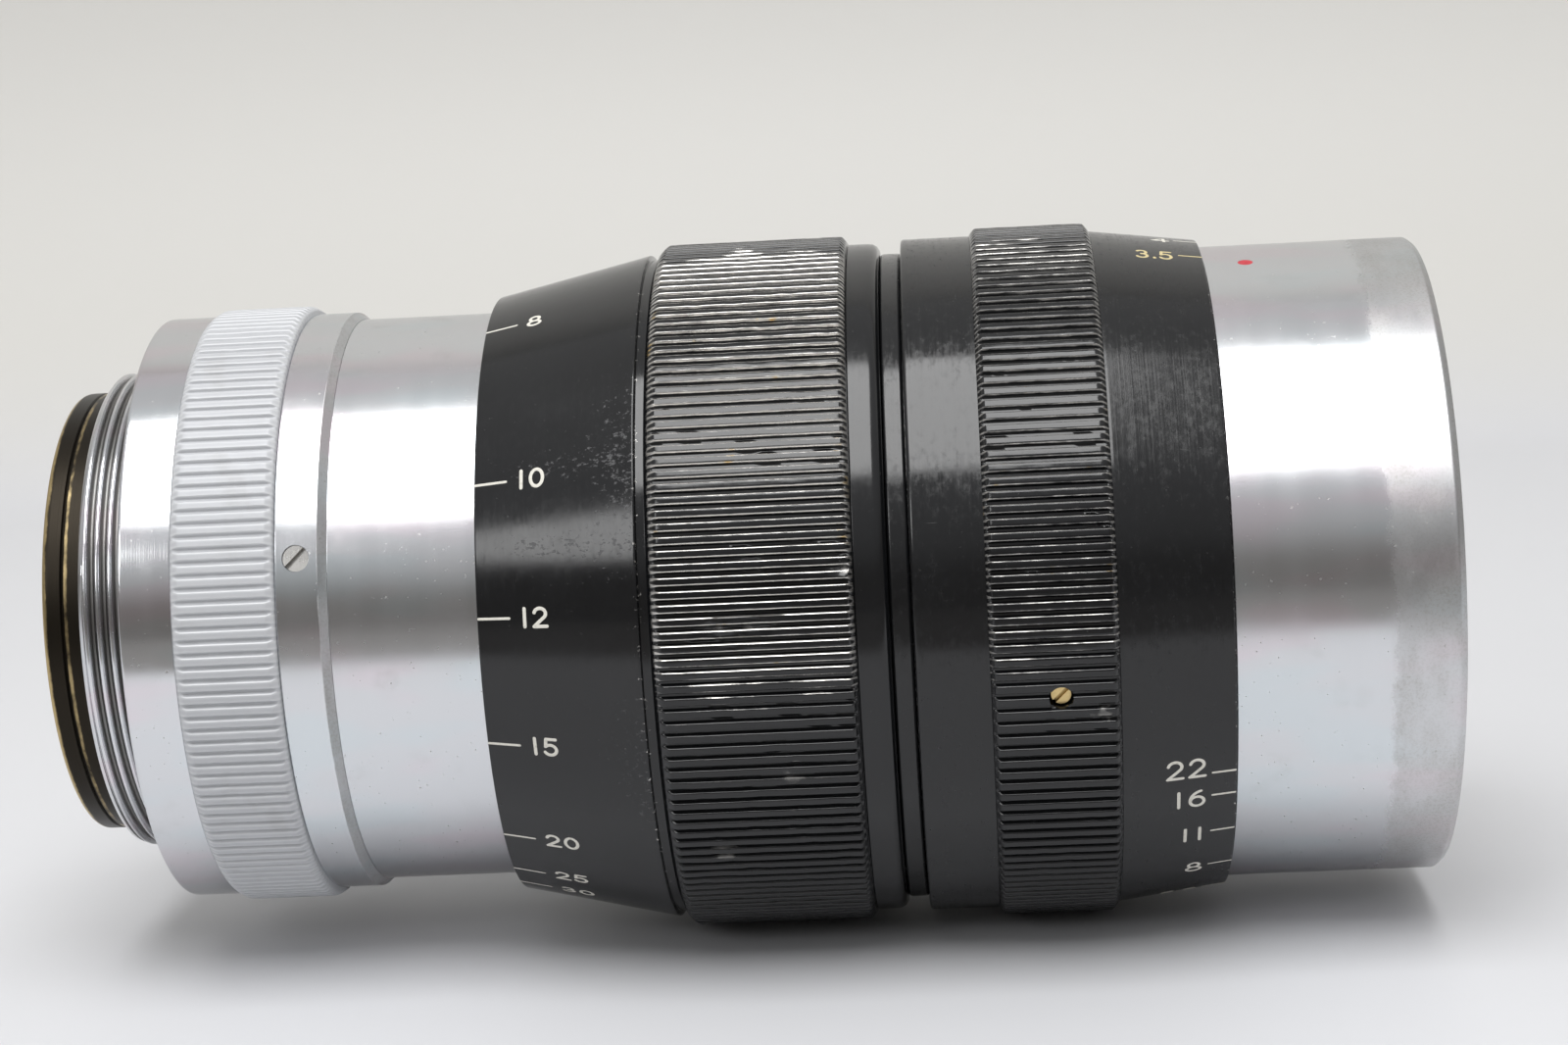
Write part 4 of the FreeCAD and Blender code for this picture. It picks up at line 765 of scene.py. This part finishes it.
ring_start, ring_end = start_of("front_retaining_ring"), end_of("front_retaining_ring")
turned_piece("front_glass_ring",
             [(ring_start, 20.6, 0.02), (ring_end, 20.6, 0.1), (ring_end, 19.5, 0.1),
              (ring_start + 0.5, 19.5, 0.05)],
             MATT_BLACK, "focusing_group", ["front_retaining_ring"])
cell_rear = start_of("front_cell")
turned_piece("front_cell_turned",
             [(CELL_FRONT, HEAD_NOSE_R, 0.1), (CELL_FRONT, FRONT_SEAT_R, 0.1),
              (CELL_FRONT - 3.0, FRONT_SEAT_R, 0.05), (CELL_FRONT - 3.0, DOUBLET_SEAT_R, 0.05),
              (cell_rear + 2.8, DOUBLET_SEAT_R, 0.05), (cell_rear + 2.8, 16.6, 0.05),
              (cell_rear + 1.8, 16.6), (cell_rear, CELL_R - 2), (cell_rear, CELL_R),
              (cell_rear + 3, CELL_R), (cell_rear + 3, WAIST_R), (CELL_FRONT - 5, WAIST_R),
              (CELL_FRONT - 5, CELL_R, 0.05), (CELL_FRONT - 1.8, CELL_R, 0.05),
              (CELL_FRONT - 1.8, HEAD_NOSE_R, 0.05)],
             MATT_BLACK, "focusing_group", ["front_cell"])

REPAINTED = {
    BRASS: ("stop_segment", "stop_rail", "aperture_drive_screws"),
    SLEEVE_BRASS: ("helicoid_sleeve",),
    STEEL: ("collar_set_screws", "cam_guide_key", "stop_segment_screws", "focus_ring_screws",
            "stop_rail_screws", "iris_ring"),
    MATT_BLACK: ("rear_baffle", "iris_housing", "iris_cover_ring", "doublet_retaining_ring",
                 "rear_cell", "rear_retaining_ring"),
    ALUMINIUM: ("head_barrel",),
    BLADE_STEEL: tuple("iris_blade_%d" % number for number in range(1, 10)),
}
for finish, nodes in REPAINTED.items():
    for node in nodes:
        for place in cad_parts[node].material_slots:
            place.material = finish


# ---- engraved scales ------------------------------------------------------------------------------
def bow(middle_u, middle_v, wide, high, begin, stop, count=26):
    """Points of an elliptical arc in a unit box, angles anticlockwise from the right."""
    angle = np.radians(np.linspace(begin, stop, count))
    return np.stack((middle_u + wide * np.cos(angle), middle_v + high * np.sin(angle)), axis=1)


def line(*points):
    return np.array(points, dtype=float)


# The strokes of each sign in a box one wide and one high. "o" is the sign for infinity.
STROKES = {
    "0": [bow(0.5, 0.5, 0.44, 0.5, 90, 450)],
    "1": [line((0.5, 0), (0.5, 1))],
    "2": [np.concatenate((bow(0.49, 0.71, 0.41, 0.29, 168, -38), line((0.04, 0.0)))),
          line((0.04, 0), (0.97, 0))],
    "3": [bow(0.46, 0.75, 0.36, 0.25, 150, -90), bow(0.46, 0.26, 0.42, 0.26, 90, -150)],
    "4": [line((0.74, 1), (0.02, 0.3)), line((0.02, 0.3), (1.0, 0.3)), line((0.74, 1), (0.74, 0))],
    "5": [line((0.2, 1), (0.88, 1)), line((0.2, 1), (0.14, 0.55)),
          bow(0.46, 0.32, 0.44, 0.32, 138, -152)],
    "6": [np.concatenate((bow(0.92, 0.36, 0.84, 0.64, 103, 180, 14),
                          bow(0.5, 0.31, 0.42, 0.31, 180, 540)))],
    "7": [line((0.04, 1), (0.96, 1)), line((0.96, 1), (0.36, 0))],
    "8": [bow(0.5, 0.75, 0.34, 0.25, 90, 450), bow(0.5, 0.25, 0.44, 0.25, 90, 450)],
    ".": [line((0.5, 0.02), (0.5, 0.09))],
    "o": [bow(0.27, 0.45, 0.25, 0.27, 90, 450), bow(0.77, 0.45, 0.25, 0.27, 90, 450)],
}
ADVANCE = {"1": 0.55, ".": 0.16, "o": 1.35}
CROWN, SUNK, LONGEST_STEP = 0.012, -0.05, 0.09


def stroke_solid(path, width):
    """A rounded bar along a path: the path is sampled again by length, an open end runs on by half
    the width with its breadth falling as a half circle, and the section is a low crown on a foot
    that is sunk in the ground. Gives rows of (u, v, height)."""
    step = np.linalg.norm(np.diff(path, axis=0), axis=1)
    length = np.concatenate(([0], np.cumsum(step)))
    whole, half = length[-1], width / 2
    closed = np.linalg.norm(path[0] - path[-1]) < 1e-6 and len(path) > 4
    inner = np.linspace(0, whole, max(4, int(whole / LONGEST_STEP)))
    if closed:
        at_length = inner[:-1]
    else:
        cap = half * np.sin(np.linspace(0, np.pi / 2, 5))[1:] * 0.98
        at_length = np.concatenate((-cap[::-1], inner, whole + cap))
    past = np.clip(np.maximum(-at_length, at_length - whole), 0, None)
    breadth = half * np.sqrt(np.clip(1 - (past / half) ** 2, 0.0, 1))
    held = np.clip(at_length, 0, whole)
    centre = np.stack([np.interp(held, length, path[:, axis]) for axis in (0, 1)], axis=1)
    ends = np.array([path[1] - path[0], path[-1] - path[-2]])
    ends = ends / np.linalg.norm(ends, axis=1)[:, None]
    centre = centre + np.where(at_length < 0, at_length, 0)[:, None] * ends[0]
    centre = centre + np.where(at_length > whole, at_length - whole, 0)[:, None] * ends[1]
    if closed:
        ahead = np.roll(centre, -1, axis=0) - np.roll(centre, 1, axis=0)
    else:
        ahead = np.gradient(centre, axis=0)
    ahead = ahead / np.linalg.norm(ahead, axis=1)[:, None]
    side = np.stack((ahead[:, 1], -ahead[:, 0]), axis=1)
    across = np.array((-1, -0.6, 0.6, 1, 1, -1))
    height = np.array((0.0, CROWN, CROWN, 0.0, SUNK, SUNK))
    flat = centre[:, None] + side[:, None] * across[None, :, None] * breadth[:, None, None]
    rows = np.concatenate((flat, np.broadcast_to(height[None, :, None], (*flat.shape[:2], 1))), axis=2)
    count, corners = rows.shape[:2]
    faces = grid_faces(count, corners, closed, True).tolist()
    if not closed:
        last = (count - 1) * corners
        faces += [list(range(corners))[::-1], list(range(last, last + corners))]
    return rows, faces


def engrave(name, strokes, ground, finish, body):
    """Bars laid on a cone of the axis. Each stroke is (path, width, x, theta): the path's u runs
    along x, its v up towards smaller angles, and ground(x) gives the radius there."""
    points, faces, first = [], [], 0
    for path, width, x, theta in strokes:
        rows, cells = stroke_solid(path, width)
        along = x + rows[..., 0]
        radius = ground(along)
        angle = theta - np.degrees(rows[..., 1] / radius)
        points.append(round_the_axis(along, radius + rows[..., 2], angle).reshape(-1, 3))
        faces += [[corner + first for corner in cell] for cell in cells]
        first += rows.shape[0] * rows.shape[1]
    piece = add_piece(name, np.concatenate(points), faces, finish, body)
    mend_shell(piece.data, face_outwards)


def word_strokes(word, wide, high, weight, x, theta, drop, from_right=False):
    """The strokes of a number, with its middle a drop above its mark. It runs forward from x, or
    ends there if it is placed from the right."""
    gap = 0.34 * wide
    widths = [wide * ADVANCE.get(letter, 1.0) for letter in word]
    total = sum(widths) + gap * (len(word) - 1)
    left = -total if from_right else 0.0
    strokes = []
    for letter, width in zip(word, widths):
        box = width if letter == "o" else wide
        shift = (width - box) / 2
        for path in STROKES[letter]:
            placed = path * (box, high) + (left + shift, drop - high / 2)
            strokes.append((placed, weight, x, theta))
        left += width + gap
    return strokes


def focus_cone_r(x):
    """The distance cone: a straight line from its rear radius to its front one."""
    return CONE_REAR_R + (x - FOCUS_REAR) * (CONE_FRONT_R - CONE_REAR_R) / CONE_LONG


def aperture_cone_r(x):
    """The stop cone, which begins just ahead of its knurl."""
    share = (x - A_KNURL_FRONT - CONE_GAP) / (APERTURE_FRONT - A_KNURL_FRONT - CONE_GAP)
    return A_CONE_REAR_R + share * (A_CONE_FRONT_R - A_CONE_REAR_R)


# A distance lies SWEEP / (feet - TWICE_FOCAL) degrees round from infinity.
SWEEP, TWICE_FOCAL = 1220, 0.886
distance_strokes = []
for word in ("5", "6", "7", "8", "10", "12", "15", "20", "25", "30", "50", "100", "o"):
    theta = FOCUS_INDEX - (0.0 if word == "o" else SWEEP / (int(word) - TWICE_FOCAL))
    distance_strokes.append((line((0.12, 0), (2.5, 0)), 0.2, FOCUS_REAR, theta))
    distance_strokes += word_strokes(word, 1.08, 1.36, 0.26, FOCUS_REAR + 3.4, theta, 0.03)
engrave("distance_scale", distance_strokes, focus_cone_r, CREAM, "focusing_group")

# Each stop: the angle of its mark, and how far its number stands above the mark.
STOPS = {"22": (117.1, 0.62), "16": (122.1, -0.15), "11": (131.4, -0.2), "8": (143.3, -0.2),
         "5.6": (161.3, -0.2), "4": (183.3, -0.2), "3.5": (194.4, -0.2)}
stop_strokes, widest_strokes = [], []
for turn in (0, 180):
    for word, (theta, drop) in STOPS.items():
        heap = widest_strokes if word == "3.5" else stop_strokes
        heap.append((line((-1.8, 0), (-0.1, 0)), 0.18, APERTURE_FRONT, theta + turn))
        wide = 1.0 if "." in word else 1.25
        heap += word_strokes(word, wide, 1.6, 0.25, APERTURE_FRONT - 2.35, theta + turn, drop, True)
engrave("stop_scale", stop_strokes, aperture_cone_r, CREAM, "aperture")
engrave("widest_stop_mark", widest_strokes, aperture_cone_r, YELLOW, "aperture")


def plain_r(radius):
    """A cylinder: the same radius all along."""
    return lambda x: np.full_like(x, radius)


dot_strokes = [(line((-0.02, 0), (0.02, 0)), 1.15, FRONT_REAR + 3.3, theta) for theta in APERTURE_MARKS]
engrave("stop_dots", dot_strokes, plain_r(FRONT_R), RED, "focusing_group")
engrave("focus_index", [(line((0, 0), (2.6, 0)), 0.28, FOCUS_REAR - 3.0, FOCUS_INDEX)],
        plain_r(BARREL_R), BLACK_FILL, "mount")


# ---- room, light and camera -----------------------------------------------------------------------
def room_surface():
    """The table, a cove and a wall: one sheet whose section is a line, a quarter circle and a line,
    in metres. Its back is clear, so the lens can be looked at from behind the wall. To anything but
    the camera the table is dark nearer than the lens, which keeps its glow off the lens."""
    floor_z, wall_y, wall_high, bend, reach = cad_box[0][2], 0.335, 0.8, 0.09, 6.0
    angle = np.linspace(0, np.pi / 2, 24)
    flat_y = np.linspace(-reach, wall_y - bend, 60)[:-1]
    wall_z = np.linspace(bend, wall_high, 12)[1:]
    y = np.concatenate((flat_y, wall_y - bend + bend * np.sin(angle), np.full(len(wall_z), wall_y)))
    z = np.concatenate((np.zeros(len(flat_y)), bend * (1 - np.cos(angle)), wall_z))
    x = np.linspace(-reach, reach, 41)
    points = np.stack(np.broadcast_arrays(x[None, :], y[:, None], z[:, None] + floor_z), axis=-1)
    mesh = bpy.data.meshes.new("table_and_wall")
    mesh.from_pydata(points.reshape(-1, 3), [], grid_faces(len(y), len(x), False, False))
    mesh.shade_smooth()
    f = Finish("table_and_wall")
    away = f.node("SeparateXYZ", sockets={0: f.place()}, out="Y")
    grain = f.noise((0.6, 0.6, 0.6), 3)
    colour = f.blend(f.above(away, 0.25, 0.31), (0.665, 0.67, 0.69), (0.66, 0.65, 0.62))
    seen = f.node("LightPath", out="Is Camera Ray")
    nearer = (1 - f.above(away, -0.14, -0.11)) * (1 - seen)
    colour = f.blend(nearer, colour, (0.16, 0.15, 0.14))
    sheet = f.node("BsdfPrincipled", sockets={"Base Color": colour, "Roughness": 0.55,
                                              "Normal": f.bump(grain, 0.02, 0.4)})
    behind = f.node("NewGeometry", out="Backfacing") * seen
    shader = f.node("MixShader", sockets={0: behind, 1: sheet, 2: f.node("BsdfTransparent")})
    f.node("OutputMaterial", sockets={"Surface": shader})
    mesh.materials.append(f.material)
    put_in_scene(mesh, "table_and_wall")


def area_light(name, place, aim, size, power):
    """A soft panel, in metres and watts, turned from its place to face the aim."""
    lamp = bpy.data.lights.new(name, "AREA")
    lamp.shape, lamp.size, lamp.size_y = "RECTANGLE", *size
    lamp.energy = power
    holder = put_in_scene(lamp, name)
    back = (np.array(place) - np.array(aim)).astype(float)
    back /= np.linalg.norm(back)
    right = np.cross((0, 1, 0.001), back)
    right /= np.linalg.norm(right)
    up = np.cross(back, right)
    turn = Matrix([[*row, 0] for row in np.stack((right, up, back), axis=1)] + [[0, 0, 0, 1]])
    holder.matrix_world = Matrix.Translation(place) @ turn
    holder.visible_camera = False


def sky():
    """A soft room by height and depth: dim low down on the near side, brighter above, and an even
    grey on the far side. What the camera sees of it is one grey."""
    world = bpy.data.worlds.new("room")
    bpy.context.scene.world = world
    world.use_nodes = True
    f = Finish("room", world.node_tree)
    view = f.node("TexCoord", out="Generated")
    height = f.node("SeparateXYZ", sockets={0: view}, out="Z")
    depth = f.node("SeparateXYZ", sockets={0: view}, out="Y")
    near_stops = [(0.0, (0.4, 0.4, 0.4)), (0.45, (0.17, 0.16, 0.15)), (0.59, (0.18, 0.17, 0.16)),
                  (0.67, (0.4, 0.4, 0.4)), (0.8, (0.55, 0.55, 0.56)), (1.0, (0.7, 0.7, 0.7))]
    far_stops = [(0.0, (0.5, 0.5, 0.5)), (0.6, (0.7, 0.69, 0.67)), (1.0, (0.6, 0.6, 0.6))]
    near, far = (f.node("ValToRGB", {"stops": stops}, {"Fac": height * 0.5 + 0.5})
                 for stops in (near_stops, far_stops))
    colour = f.blend(f.above(depth, -0.15, 0.15), near, far)
    seen = f.node("LightPath", out="Is Camera Ray")
    colour = f.blend(seen, colour, (0.62, 0.62, 0.61))
    glow = f.node("Background", sockets={"Color": colour, "Strength": 1.0})
    f.node("OutputWorld", sockets={"Surface": glow})


def camera():
    """The columns of its matrix are its right, up and back directions, and its place in metres."""
    lens = bpy.data.cameras.new("camera")
    lens.lens, lens.sensor_width, lens.sensor_fit = 74.27, 36.0, "HORIZONTAL"
    lens.clip_start, lens.clip_end = 0.01, 20.0
    holder = put_in_scene(lens, "camera")
    holder.matrix_world = Matrix(((0.99744, 0.04588, 0.05477, 0.0640),
                                  (0.04683, 0.15896, -0.98616, -0.2613),
                                  (-0.05395, 0.98622, 0.15641, 0.0462), (0, 0, 0, 1)))
    bpy.context.scene.camera = holder


room_surface()
sky()
area_light("ceiling_panel", (0.02, -0.36, 0.72), (0.05, -0.1, 0.0), (0.52, 0.62), 6.0)
area_light("window", (-0.44, -0.775, 0.454), (0.03, -0.02, 0.0), (0.3, 0.22), 0.95)
camera()
bpy.context.scene.view_settings.view_transform = "Standard"    # keeps whites and blacks as they are
